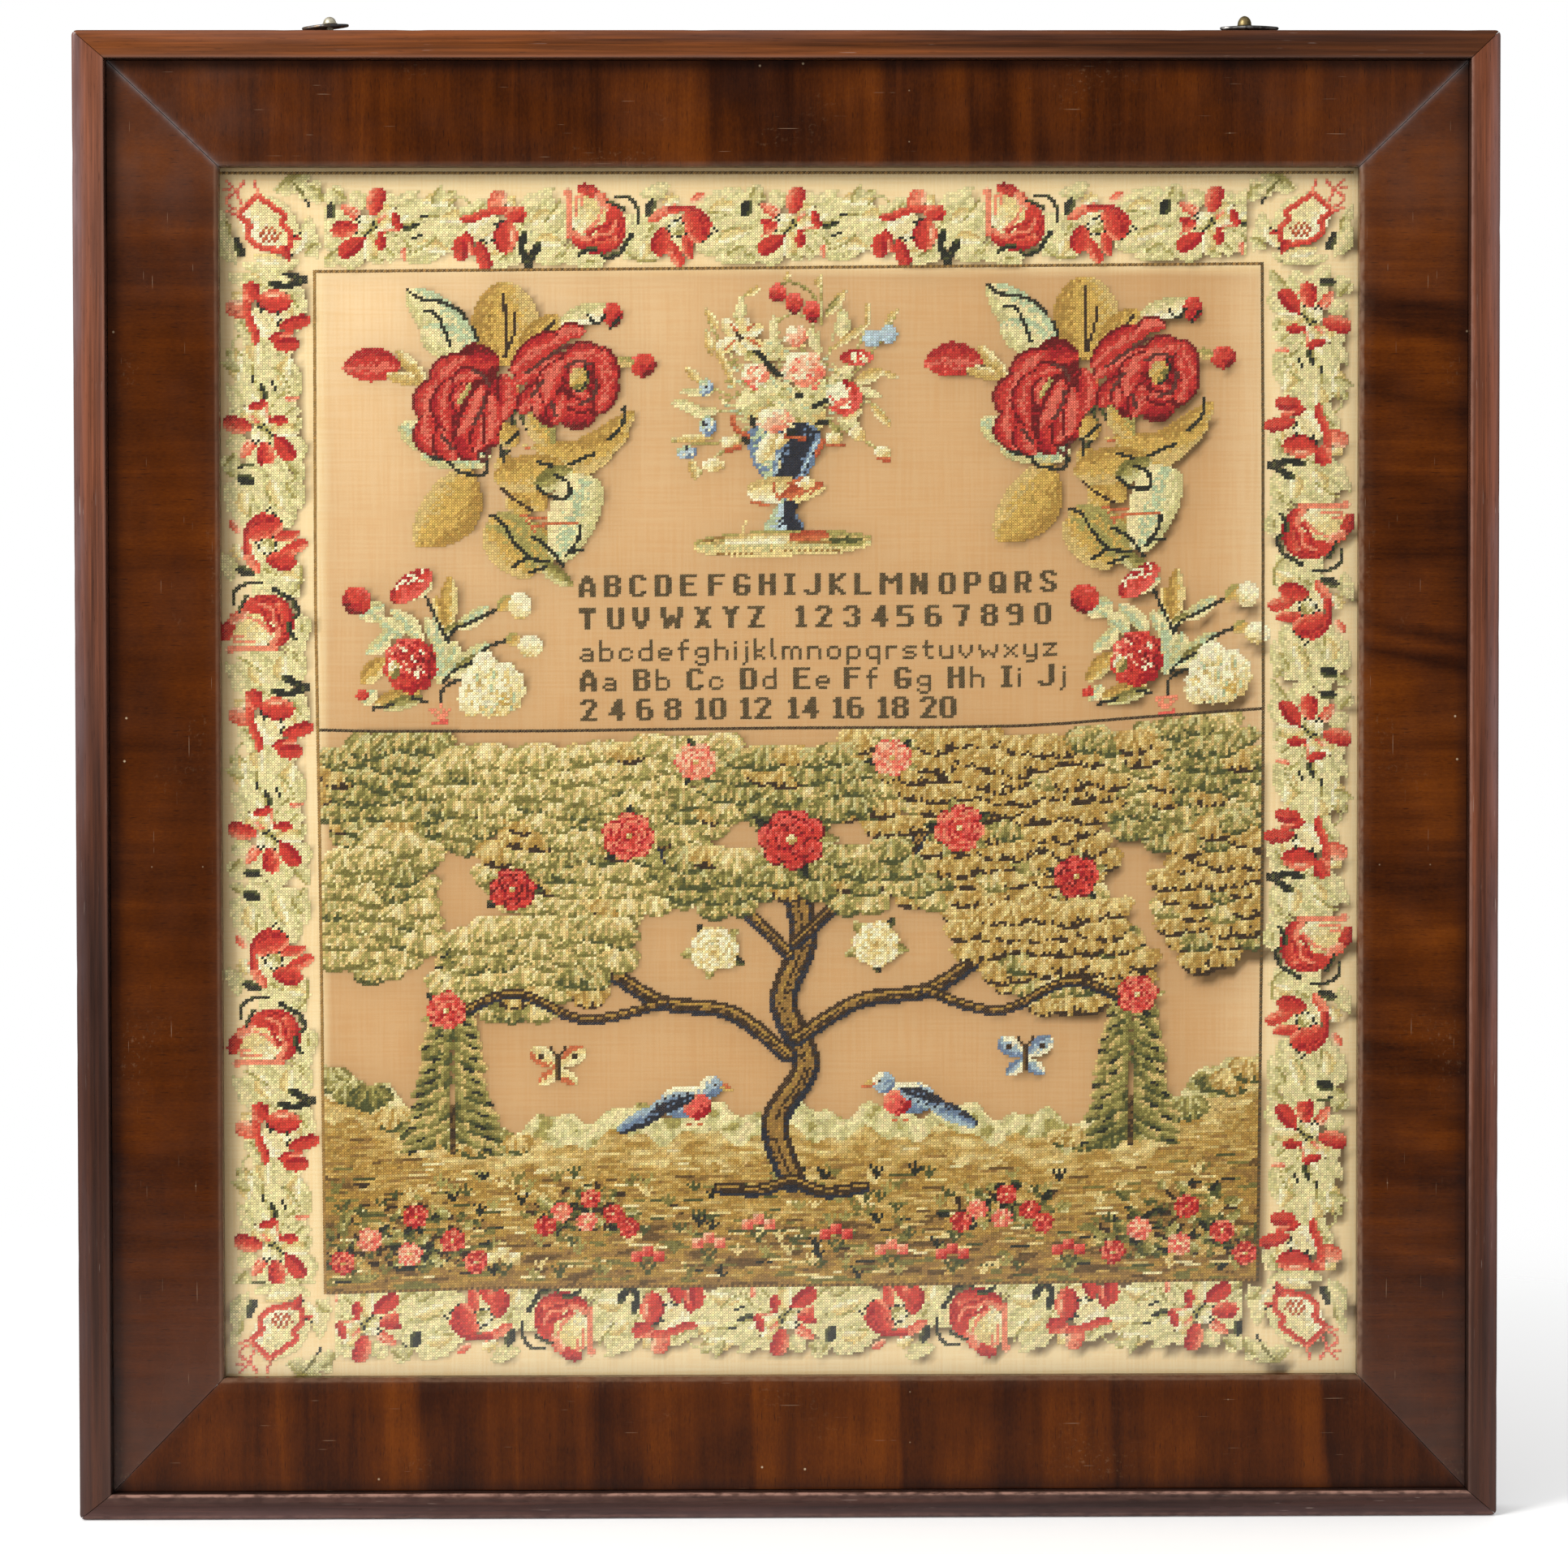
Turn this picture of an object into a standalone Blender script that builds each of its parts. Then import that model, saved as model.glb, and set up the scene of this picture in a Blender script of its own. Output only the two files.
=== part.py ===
"""Framed cross stitch sampler: embroidered cloth behind glass in a mitred wooden frame.

Units are metres, +Z is up. The sampler hangs on a wall in the plane y = 0 and faces -Y.
The origin is the middle of the top rail's back face, where the frame lies on the wall.
Each frame bar is worked out from its cross-section: "inward" runs from the frame's outer
edge towards the picture, and "out" runs from the wall towards the viewer.
"""

import collections
import math

import bmesh
import bpy
import numpy as np
from mathutils import Matrix

# Whole frame
FRAME_WIDTH = 0.700
FRAME_HEIGHT = 0.732
FRAME_DEPTH = 0.030
GAP = 0.0003  # between any two pieces that lie on each other
MITRE_SHIFT = GAP / 2 * math.sqrt(2)  # one bar's share of a mitre gap, along the bar

# One side of the frame. The bars are hand cut, so each side has its own widths, and a mitre
# runs from outer corner to sight corner at the slope that its two bars' widths give.
Side = collections.namedtuple("Side", "turn length reach strip sight minus_end plus_end")
HALF_WIDTH = FRAME_WIDTH / 2
HALF_HEIGHT = FRAME_HEIGHT / 2
SIDES = {
    # turn about Y in degrees, length, centre to outer edge, strip's width, outer to sight
    # edge, and the sides that the bar meets at its -X and +X ends before it is turned
    "top": Side(0, FRAME_WIDTH, HALF_HEIGHT, 0.0136, 0.0653, "left", "right"),
    "bottom": Side(180, FRAME_WIDTH, HALF_HEIGHT, 0.0124, 0.0683, "right", "left"),
    "left": Side(-90, FRAME_HEIGHT, HALF_WIDTH, 0.0156, 0.0701, "bottom", "top"),
    "right": Side(90, FRAME_HEIGHT, HALF_WIDTH, 0.0143, 0.0676, "top", "bottom"),
}

# Raised strip round the outside of the frame
CORNER_RADIUS = 0.0025  # the frame's worn outer corners, seen from the front
CORNER_STEPS = 4
STRIP_OUTER_ARRIS = 0.0016
STRIP_INNER_ARRIS = 0.0009
ARC_STEPS = 3

# Wide veneered rail inside the strip
RAIL_OUT_AT_STRIP = 0.0220
RAIL_OUT_AT_SIGHT = 0.0205
SIGHT_ARRIS = 0.0018
REBATE_WIDTH = 0.0060
REBATE_OUT = 0.0133  # back face of the lip that holds the glass

# What the rebate holds, from the back forwards
Panel = collections.namedtuple("Panel", "back_out thickness clearance")
BOARD = Panel(0.0020, 0.0060, 0.0008)
GLASS = Panel(REBATE_OUT - GAP - 0.0020, 0.0020, 0.0006)

# Cloth, stretched flat with slight cockles
CLOTH_THICKNESS = 0.0014
CLOTH_MIDDLE_OUT = 0.0092
CLOTH_CLEARANCE = 0.0015
COCKLE_HEIGHT = 0.00018
EDGE_WANDER = 0.0006
CLOTH_COLUMNS = 22
CLOTH_ROWS = 24

# Hanging plates, and the round-headed studs that pin them to the top edge
PLATE_WIDTH = 0.0110
PLATE_THICKNESS = 0.0015
PLATE_ROUNDNESS = 1.35  # exponent of the lozenge: 1 is a rhombus, 2 an oval
PLATE_POINTS = 32
PLATE_OUT = 0.0225
SHANK_RADIUS = 0.0016
SHANK_HOLE_RADIUS = 0.0020
STUD_FLANGE_HEIGHT = 0.0006
STUD_SEGMENTS = 24
STUD_RINGS = 6
Hanger = collections.namedtuple(
    "Hanger", "x length lift tilt stud_shift flange_radius dome_radius dome_height"
)
HANGERS = {
    # plate's middle and length, its height over the frame, its tilt in degrees, and the
    # stud's place along it and sizes
    "left": Hanger(-0.2265, 0.0231, 0.0016, 4.0, 0.0022, 0.0037, 0.0027, 0.0034),
    "right": Hanger(0.2273, 0.0290, 0.0010, 0.0, -0.0024, 0.0036, 0.0034, 0.0044),
}

# The origin is the middle of the top rail's back face
TOP_RAIL_BACK = (SIDES["top"].strip + GAP, SIDES["top"].sight - REBATE_WIDTH)
CENTRE_Z = sum(TOP_RAIL_BACK) / 2 - HALF_HEIGHT


def clear_scene():
    """Removes every object that is in the file."""
    for obj in list(bpy.data.objects):
        bpy.data.objects.remove(obj, do_unlink=True)


def principled(name, colour, roughness, metallic=0.0):
    """A plain material of one colour."""
    material = bpy.data.materials.new(name)
    material.use_nodes = True
    shader = material.node_tree.nodes["Principled BSDF"]
    shader.inputs["Base Color"].default_value = (*colour, 1.0)
    shader.inputs["Roughness"].default_value = roughness
    shader.inputs["Metallic"].default_value = metallic
    return material


def place(obj, parent, collection, material):
    """Links an object, hangs it on its parent empty and gives it its material."""
    collection.objects.link(obj)
    obj.parent = parent
    obj.data.materials.append(material)
    return obj


def rounded_outline(corners):
    """An outline of (inward, out) points with its corners rounded.

    Each corner is (inward, out, radius). A radius of 0 keeps the point. Otherwise an arc
    tangent to both sides takes its place, centred on the line that halves the corner.
    """
    points = []
    for index, (inward, out, radius) in enumerate(corners):
        corner = np.array([inward, out])
        if radius == 0:
            points.append(corner)
            continue
        before = np.array(corners[index - 1][:2]) - corner
        after = np.array(corners[(index + 1) % len(corners)][:2]) - corner
        before /= np.linalg.norm(before)
        after /= np.linalg.norm(after)
        half = math.acos(float(before @ after)) / 2
        bisector = (before + after) / np.linalg.norm(before + after)
        centre = corner + bisector * radius / math.sin(half)
        start = corner + before * radius / math.tan(half) - centre
        end = corner + after * radius / math.tan(half) - centre
        sweep = math.pi - 2 * half
        for step in range(ARC_STEPS + 1):
            part = step / ARC_STEPS
            weights = math.sin((1 - part) * sweep), math.sin(part * sweep)
            points.append(centre + (start * weights[0] + end * weights[1]) / math.sin(sweep))
    return np.array(points)


def mitre_of(side, end):
    """How far a side's mitre lies from the bar's end: distances inward, and along the bar."""
    return (0, side.strip, side.sight), (0, SIDES[end].strip, SIDES[end].sight)


def bar_end(outline, side, end):
    """Rings of (along, out, inward) points from a plain section out to one end's mitre.

    A point inside CORNER_RADIUS turns round the frame's corner on an arc. One further in
    runs straight to the mitre.
    """
    inward, out = outline[:, 0], outline[:, 1]
    turns = inward < CORNER_RADIUS
    arm = CORNER_RADIUS - inward
    mitre = np.interp(inward, *mitre_of(side, end))
    plain = max(side.sight, SIDES[end].sight) + CORNER_RADIUS
    rings = [np.stack([plain + 0 * inward, out, inward], axis=1)]
    for step in range(CORNER_STEPS + 1):
        angle = step / CORNER_STEPS * math.pi / 4
        straight = plain + (mitre - plain) * (step + 1) / (CORNER_STEPS + 1)
        along = np.where(turns, CORNER_RADIUS - arm * math.sin(angle), straight)
        depth = np.where(turns, CORNER_RADIUS - arm * math.cos(angle), inward)
        rings.append(np.stack([along, out, depth], axis=1))
    return rings


def mitred_bar(name, outline, side):
    """A frame bar along X, mitred at both ends, with its outer edge at z = 0."""
    tip = np.array((side.length / 2 - MITRE_SHIFT, 0, 0))
    minus = [(tip - ring) * (-1, 1, 1) for ring in bar_end(outline, side, side.minus_end)]
    plus = [tip - ring for ring in bar_end(outline, side, side.plus_end)]
    bar = bmesh.new()
    rows = [[bar.verts.new(point) for point in ring] for ring in minus[::-1] + plus]
    count = len(outline)
    for first, second in zip(rows, rows[1:]):
        for index in range(count):
            following = (index + 1) % count
            corners = (first[index], first[following], second[following], second[index])
            bar.faces.new(corners)
    bar.faces.new(rows[0])
    bar.faces.new(rows[-1][::-1])
    bmesh.ops.recalc_face_normals(bar, faces=bar.faces)
    mesh = bpy.data.meshes.new(name)
    bar.to_mesh(mesh)
    bar.free()
    return bpy.data.objects.new(name, mesh)


def strip_outline(side):
    """The raised outer strip: a rectangle with softened front arrises."""
    return rounded_outline(
        [
            (0, 0, 0),
            (side.strip, 0, 0),
            (side.strip, FRAME_DEPTH, STRIP_INNER_ARRIS),
            (0, FRAME_DEPTH, STRIP_OUTER_ARRIS),
        ]
    )


def rail_outline(side):
    """The wide rail: its front slopes back to a rounded sight edge, over a rebate."""
    start = side.strip + GAP
    return rounded_outline(
        [
            (start, 0, 0),
            (side.sight - REBATE_WIDTH, 0, 0),
            (side.sight - REBATE_WIDTH, REBATE_OUT, 0),
            (side.sight, REBATE_OUT, 0),
            (side.sight, RAIL_OUT_AT_SIGHT, SIGHT_ARRIS),
            (start, RAIL_OUT_AT_STRIP, 0),
        ]
    )


def add_bars(kind, outline_of, centre, collection, material):
    """The four mitred bars of one kind, each turned to its side of the frame."""
    for name, side in SIDES.items():
        bar = mitred_bar(f"{kind}_{name}", outline_of(side), side)
        angle = math.radians(side.turn)
        bar.rotation_euler = (0, angle, 0)
        bar.location = (math.sin(angle) * side.reach, 0, math.cos(angle) * side.reach)
        place(bar, centre, collection, material)


def rebate_panel(clearance):
    """Width, height and middle (x, z) of a panel that stands clear inside the rebate."""
    inset = {name: side.sight - REBATE_WIDTH + clearance for name, side in SIDES.items()}
    width = FRAME_WIDTH - inset["left"] - inset["right"]
    height = FRAME_HEIGHT - inset["top"] - inset["bottom"]
    middle = (inset["left"] - inset["right"]) / 2, (inset["bottom"] - inset["top"]) / 2
    return width, height, middle


def add_panel(name, sizes, centre, collection, material):
    """A flat panel in the rebate, its back a stated distance out from the wall."""
    width, height, middle = rebate_panel(sizes.clearance)
    bpy.ops.mesh.primitive_cube_add(size=1)
    panel = bpy.context.active_object
    panel.name = name
    panel.data.name = name
    panel.data.transform(Matrix.Diagonal((width, sizes.thickness, height, 1)))
    for owner in list(panel.users_collection):
        owner.objects.unlink(panel)
    panel.location = (middle[0], -sizes.back_out - sizes.thickness / 2, middle[1])
    place(panel, centre, collection, material)


def cockle(across, up):
    """Height of the cloth over its mean plane, from three slow waves, in metres."""
    waves = (
        0.55 * math.sin(7.0 * across + 2.2 * up + 0.6)
        + 0.30 * math.sin(3.1 * across - 8.4 * up + 1.9)
        + 0.15 * math.sin(15.0 * across + 11.0 * up)
    )
    return COCKLE_HEIGHT * waves


def add_cloth(centre, collection, material):
    """The embroidered sheet: a grid with slow cockles and slightly wandering edges."""
    width, height, middle = rebate_panel(CLOTH_CLEARANCE)
    sheet = bmesh.new()
    bmesh.ops.create_grid(sheet, x_segments=CLOTH_COLUMNS, y_segments=CLOTH_ROWS, size=0.5)
    for vert in sheet.verts:
        across, up = vert.co.x, vert.co.y
        sideways = EDGE_WANDER * 2 * across * math.sin(19 * up + 0.8)
        upwards = EDGE_WANDER * 2 * up * math.sin(17 * across + 2.0)
        vert.co = (across * width + sideways, -cockle(across, up), up * height + upwards)
    mesh = bpy.data.meshes.new("sampler_cloth")
    sheet.to_mesh(mesh)
    sheet.free()
    cloth = bpy.data.objects.new("sampler_cloth", mesh)
    cloth.location = (middle[0], -CLOTH_MIDDLE_OUT, middle[1])
    place(cloth, centre, collection, material)
    thicken = cloth.modifiers.new("thickness", "SOLIDIFY")
    thicken.thickness = CLOTH_THICKNESS
    thicken.offset = 0


def ring_spline(curve, count, point_at):
    """A closed run of straight steps through point_at(angle), once round."""
    spline = curve.splines.new("POLY")
    spline.points.add(count - 1)
    for index, point in enumerate(spline.points):
        point.co = (*point_at(2 * math.pi * index / count), 0, 1)
    spline.use_cyclic_u = True


def hanger_plate(name, hanger):
    """A flat lozenge plate with a round hole for the stud, filled and extruded."""
    curve = bpy.data.curves.new(name, "CURVE")
    curve.dimensions = "2D"
    curve.fill_mode = "BOTH"
    curve.extrude = PLATE_THICKNESS / 2
    power = 2 / PLATE_ROUNDNESS

    def lozenge(angle):
        across, up = math.cos(angle), math.sin(angle)
        x = math.copysign(abs(across) ** power, across) * hanger.length / 2
        return x, math.copysign(abs(up) ** power, up) * PLATE_WIDTH / 2

    def hole(angle):
        x = hanger.stud_shift + SHANK_HOLE_RADIUS * math.cos(angle)
        return x, SHANK_HOLE_RADIUS * math.sin(angle)

    ring_spline(curve, PLATE_POINTS, lozenge)
    ring_spline(curve, STUD_SEGMENTS, hole)
    return bpy.data.objects.new(name, curve)


def hanger_stud(name, hanger, shank_length):
    """A stud turned about Z: a half-oval head over a thin flange, on a plain shank.

    The flange's underside is at z = 0 and the shank runs down from it.
    """
    points = [
        (
            hanger.dome_radius * math.sin(angle),
            STUD_FLANGE_HEIGHT + hanger.dome_height * math.cos(angle),
        )
        for angle in np.linspace(0, math.pi / 2, STUD_RINGS)
    ]
    points += [(hanger.flange_radius, STUD_FLANGE_HEIGHT), (hanger.flange_radius, 0)]
    points += [(SHANK_RADIUS, 0), (SHANK_RADIUS, -shank_length), (0, -shank_length)]
    mesh = bpy.data.meshes.new(name)
    mesh.from_pydata(
        [(radius, 0, height) for radius, height in points],
        [(index, index + 1) for index in range(len(points) - 1)],
        [],
    )
    stud = bpy.data.objects.new(name, mesh)
    turn = stud.modifiers.new("turned shape", "SCREW")
    turn.steps = STUD_SEGMENTS
    turn.render_steps = STUD_SEGMENTS
    turn.use_merge_vertices = True
    turn.merge_threshold = 0.00001
    return stud


def add_hangers(centre, collection, material):
    """On each side of the top edge, a plate pinned by its stud, tilted as one."""
    for side, hanger in HANGERS.items():
        angle = math.radians(hanger.tilt)
        seat = bpy.data.objects.new(f"hanger_seat_{side}", None)
        seat.parent = centre
        seat.location = (hanger.x, -PLATE_OUT, HALF_HEIGHT + hanger.lift)
        seat.rotation_euler = (0, -angle, 0)
        collection.objects.link(seat)
        plate = hanger_plate(f"hanger_plate_{side}", hanger)
        plate.location = (0, 0, PLATE_THICKNESS / 2)
        place(plate, seat, collection, material)
        # the shank's tilted foot stands just clear of the frame's top edge
        drop = hanger.lift + hanger.stud_shift * math.sin(angle)
        foot = drop / math.cos(angle) - GAP - SHANK_RADIUS * math.tan(angle)
        head = PLATE_THICKNESS + GAP
        stud = hanger_stud(f"hanger_stud_{side}", hanger, head + foot)
        stud.location = (hanger.stud_shift, 0, head)
        place(stud, seat, collection, material)


def build():
    """Builds the whole object round one empty at the middle of the frame."""
    clear_scene()
    collection = bpy.data.collections.new("framed_cross_stitch_sampler")
    bpy.context.scene.collection.children.link(collection)
    centre = bpy.data.objects.new("frame_centre", None)
    centre.location = (0, 0, CENTRE_Z)
    collection.objects.link(centre)

    strip_wood = principled("strip_wood", (0.115, 0.047, 0.032), 0.42)
    veneer = principled("veneer", (0.098, 0.028, 0.014), 0.30)
    board = principled("board", (0.30, 0.19, 0.11), 0.80)
    glass = principled("glass", (0.92, 0.94, 0.92), 0.04)
    cloth = principled("cloth", (0.68, 0.44, 0.24), 0.90)
    old_brass = principled("old_brass", (0.33, 0.27, 0.14), 0.45, metallic=1.0)

    add_bars("edge_strip", strip_outline, centre, collection, strip_wood)
    add_bars("rail", rail_outline, centre, collection, veneer)
    add_panel("backboard", BOARD, centre, collection, board)
    add_panel("glass_pane", GLASS, centre, collection, glass)
    add_cloth(centre, collection, cloth)
    add_hangers(centre, collection, old_brass)


build()
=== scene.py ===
"""Framed cross stitch sampler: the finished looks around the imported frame.

Units are metres and +Z is up. The sampler faces -Y, with its back in the plane y = 0.
The embroidery is worked out on a chart, one cell a stitch, counted in stitches from the
top left corner of the frame's opening, and each charted cell becomes a cross of two yarn legs.
"""

import logging
import math
import re
from dataclasses import dataclass, field
from enum import Enum

import bpy
import numpy as np
from bpy.types import ID, Material, Mesh, Node, NodeSocket, Object
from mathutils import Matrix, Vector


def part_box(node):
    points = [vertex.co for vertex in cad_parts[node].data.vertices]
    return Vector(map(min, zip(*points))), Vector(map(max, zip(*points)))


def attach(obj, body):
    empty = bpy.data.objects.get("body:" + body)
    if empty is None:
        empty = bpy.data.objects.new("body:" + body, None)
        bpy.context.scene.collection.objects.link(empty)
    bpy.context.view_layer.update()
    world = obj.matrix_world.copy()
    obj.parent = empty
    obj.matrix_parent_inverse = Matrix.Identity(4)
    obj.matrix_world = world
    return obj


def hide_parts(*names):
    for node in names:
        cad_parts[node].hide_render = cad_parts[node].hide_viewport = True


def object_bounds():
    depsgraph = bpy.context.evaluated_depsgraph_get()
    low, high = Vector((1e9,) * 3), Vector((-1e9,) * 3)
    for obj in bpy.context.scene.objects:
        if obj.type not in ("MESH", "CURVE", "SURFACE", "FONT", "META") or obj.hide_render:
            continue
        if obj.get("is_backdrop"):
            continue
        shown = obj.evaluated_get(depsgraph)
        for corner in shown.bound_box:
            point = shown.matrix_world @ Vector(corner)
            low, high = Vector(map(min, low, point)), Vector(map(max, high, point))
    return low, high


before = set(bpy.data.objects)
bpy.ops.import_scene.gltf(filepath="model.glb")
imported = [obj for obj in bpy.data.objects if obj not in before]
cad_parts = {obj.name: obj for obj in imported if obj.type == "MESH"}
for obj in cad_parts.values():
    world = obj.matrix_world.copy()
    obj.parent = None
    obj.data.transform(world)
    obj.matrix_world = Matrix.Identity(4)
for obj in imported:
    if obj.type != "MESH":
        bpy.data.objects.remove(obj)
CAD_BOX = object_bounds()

LOG = logging.getLogger("sampler")
BODY = "root"
SIDES = ("top", "bottom", "left", "right")
# The chart's columns and rows between which its panels lie, and the row of their dividing line
PANEL_LEFT, PANEL_RIGHT, PANEL_TOP, PANEL_BOTTOM, DIVIDER = 35, 371, 38, 421, 208

Array = np.ndarray
Lot = np.random.Generator
Pair = tuple[float, float]
Colour = tuple[float, float, float]


def linear(colour: Colour) -> Colour:
    """Gives the linear colour of an sRGB one whose channels run from 0 to 255.

    Args:
        colour: red, green and blue as a colour chart gives them.

    Returns:
        The channels that a shader takes, from 0 to 1.
    """
    share = np.array(colour) / 255
    bright = ((share + 0.055) / 1.055) ** 2.4
    return tuple(float(x) for x in np.where(share > 0.04045, bright, share / 12.92))


def waves(along: Array, pitch: float, seed: int, count: int = 5) -> Array:
    """Gives a smooth uneven line: a sum of sines of falling length, from about -1 to 1.

    Args:
        along: places at which the line is read.
        pitch: the length of its longest wave.
        seed: picks the waves' phases.
        count: how many waves are added, each 1.7 times shorter than the one before.

    Returns:
        The line's height at each place.
    """
    phases = np.random.default_rng(seed).uniform(0, 2 * math.pi, count)
    height = np.zeros_like(along, dtype=float)
    for step, phase in enumerate(phases):
        height += np.sin(2 * math.pi * along / pitch * 1.7**step + phase) / 1.5**step
    return height / 2.2


# ---------------------------------------------------------------- meshes and shader nodes


def show(name: str, data: ID) -> Object:
    """Puts a mesh, a light or a camera into the scene as an object.

    Args:
        name: the object's name.
        data: its mesh, light or camera.

    Returns:
        The object.
    """
    obj = bpy.data.objects.new(name, data)
    bpy.context.scene.collection.objects.link(obj)
    return obj


def list_mesh(name: str, points: list, faces: list, flat: int, sharp: float) -> Mesh:
    """Makes a smooth mesh from faces of any number of corners.

    Args:
        name: the mesh's name.
        points: x, y and z of each vertex.
        faces: each face's vertex numbers.
        flat: how many of the last faces are shaded flat.
        sharp: the least angle in degrees between two faces whose edge is sharp.

    Returns:
        The mesh.
    """
    mesh = bpy.data.meshes.new(name)
    mesh.from_pydata(points, [], faces)
    mesh.polygons.foreach_set("use_smooth", [True] * (len(faces) - flat) + [False] * flat)
    mesh.set_sharp_from_angle(angle=math.radians(sharp))
    mesh.update()
    return mesh


def new_mesh(name: str, points: Array, faces: Array, smooth: bool = True) -> Object:
    """Makes a mesh object at the origin from whole arrays.

    Args:
        name: the piece's name.
        points: one row of x, y, z for each vertex.
        faces: one row of four vertex numbers for each face.
        smooth: whether the faces are shaded smooth.

    Returns:
        The object, linked to the scene.
    """
    mesh = bpy.data.meshes.new(name)
    mesh.vertices.add(len(points))
    mesh.vertices.foreach_set("co", np.ascontiguousarray(points, np.float32).ravel())
    mesh.loops.add(faces.size)
    mesh.loops.foreach_set("vertex_index", np.ascontiguousarray(faces, np.int32).ravel())
    mesh.polygons.add(len(faces))
    corners = faces.shape[1]
    mesh.polygons.foreach_set("loop_start", np.arange(0, faces.size, corners, dtype=np.int32))
    mesh.polygons.foreach_set("use_smooth", np.full(len(faces), smooth))
    mesh.update(calc_edges=True)
    mesh.validate()
    return show(name, mesh)


def add_uv(obj: Object, name: str, places: Array) -> None:
    """Gives a mesh a UV map.

    Args:
        obj: the mesh object.
        name: the map's name.
        places: one (u, v) row for each face corner.
    """
    layer = obj.data.uv_layers.new(name=name)
    layer.uv.foreach_set("vector", np.ascontiguousarray(places, np.float32).ravel())


def add_shares(obj: Object, name: str, shares: Array) -> None:
    """Gives each vertex of a mesh a number under a name that a material can read."""
    attribute = obj.data.attributes.new(name, "FLOAT", "POINT")
    attribute.data.foreach_set("value", np.ascontiguousarray(shares, np.float32).ravel())


def add_colours(obj: Object, name: str, colours: Array) -> None:
    """Gives each vertex of a mesh a linear colour under a name that a material can read.

    Args:
        obj: the mesh object.
        name: the name.
        colours: one row of red, green and blue for each vertex.
    """
    attribute = obj.data.color_attributes.new(name, "FLOAT_COLOR", "POINT")
    full = np.concatenate([colours, np.ones((len(colours), 1))], axis=1)
    attribute.data.foreach_set("color", np.ascontiguousarray(full, np.float32).ravel())


def grid_faces(rows: int, columns: int, closed: bool = False) -> Array:
    """Numbers the faces of a grid whose vertices run along its rows.

    Args:
        rows: how many rows of vertices there are.
        columns: how many vertices a row has.
        closed: whether each row's last vertex joins its first.

    Returns:
        One row of four vertex numbers for each face.
    """
    row = np.arange(rows - 1)[:, None]
    column = np.arange(columns if closed else columns - 1)[None, :]
    following = (column + 1) % columns
    corners = (row * columns + column, row * columns + following)
    above = ((row + 1) * columns + following, (row + 1) * columns + column)
    return np.stack([*corners, *above], axis=-1).reshape(-1, 4)


Plug = object  # a number, a tuple or the output socket of another node


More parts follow.
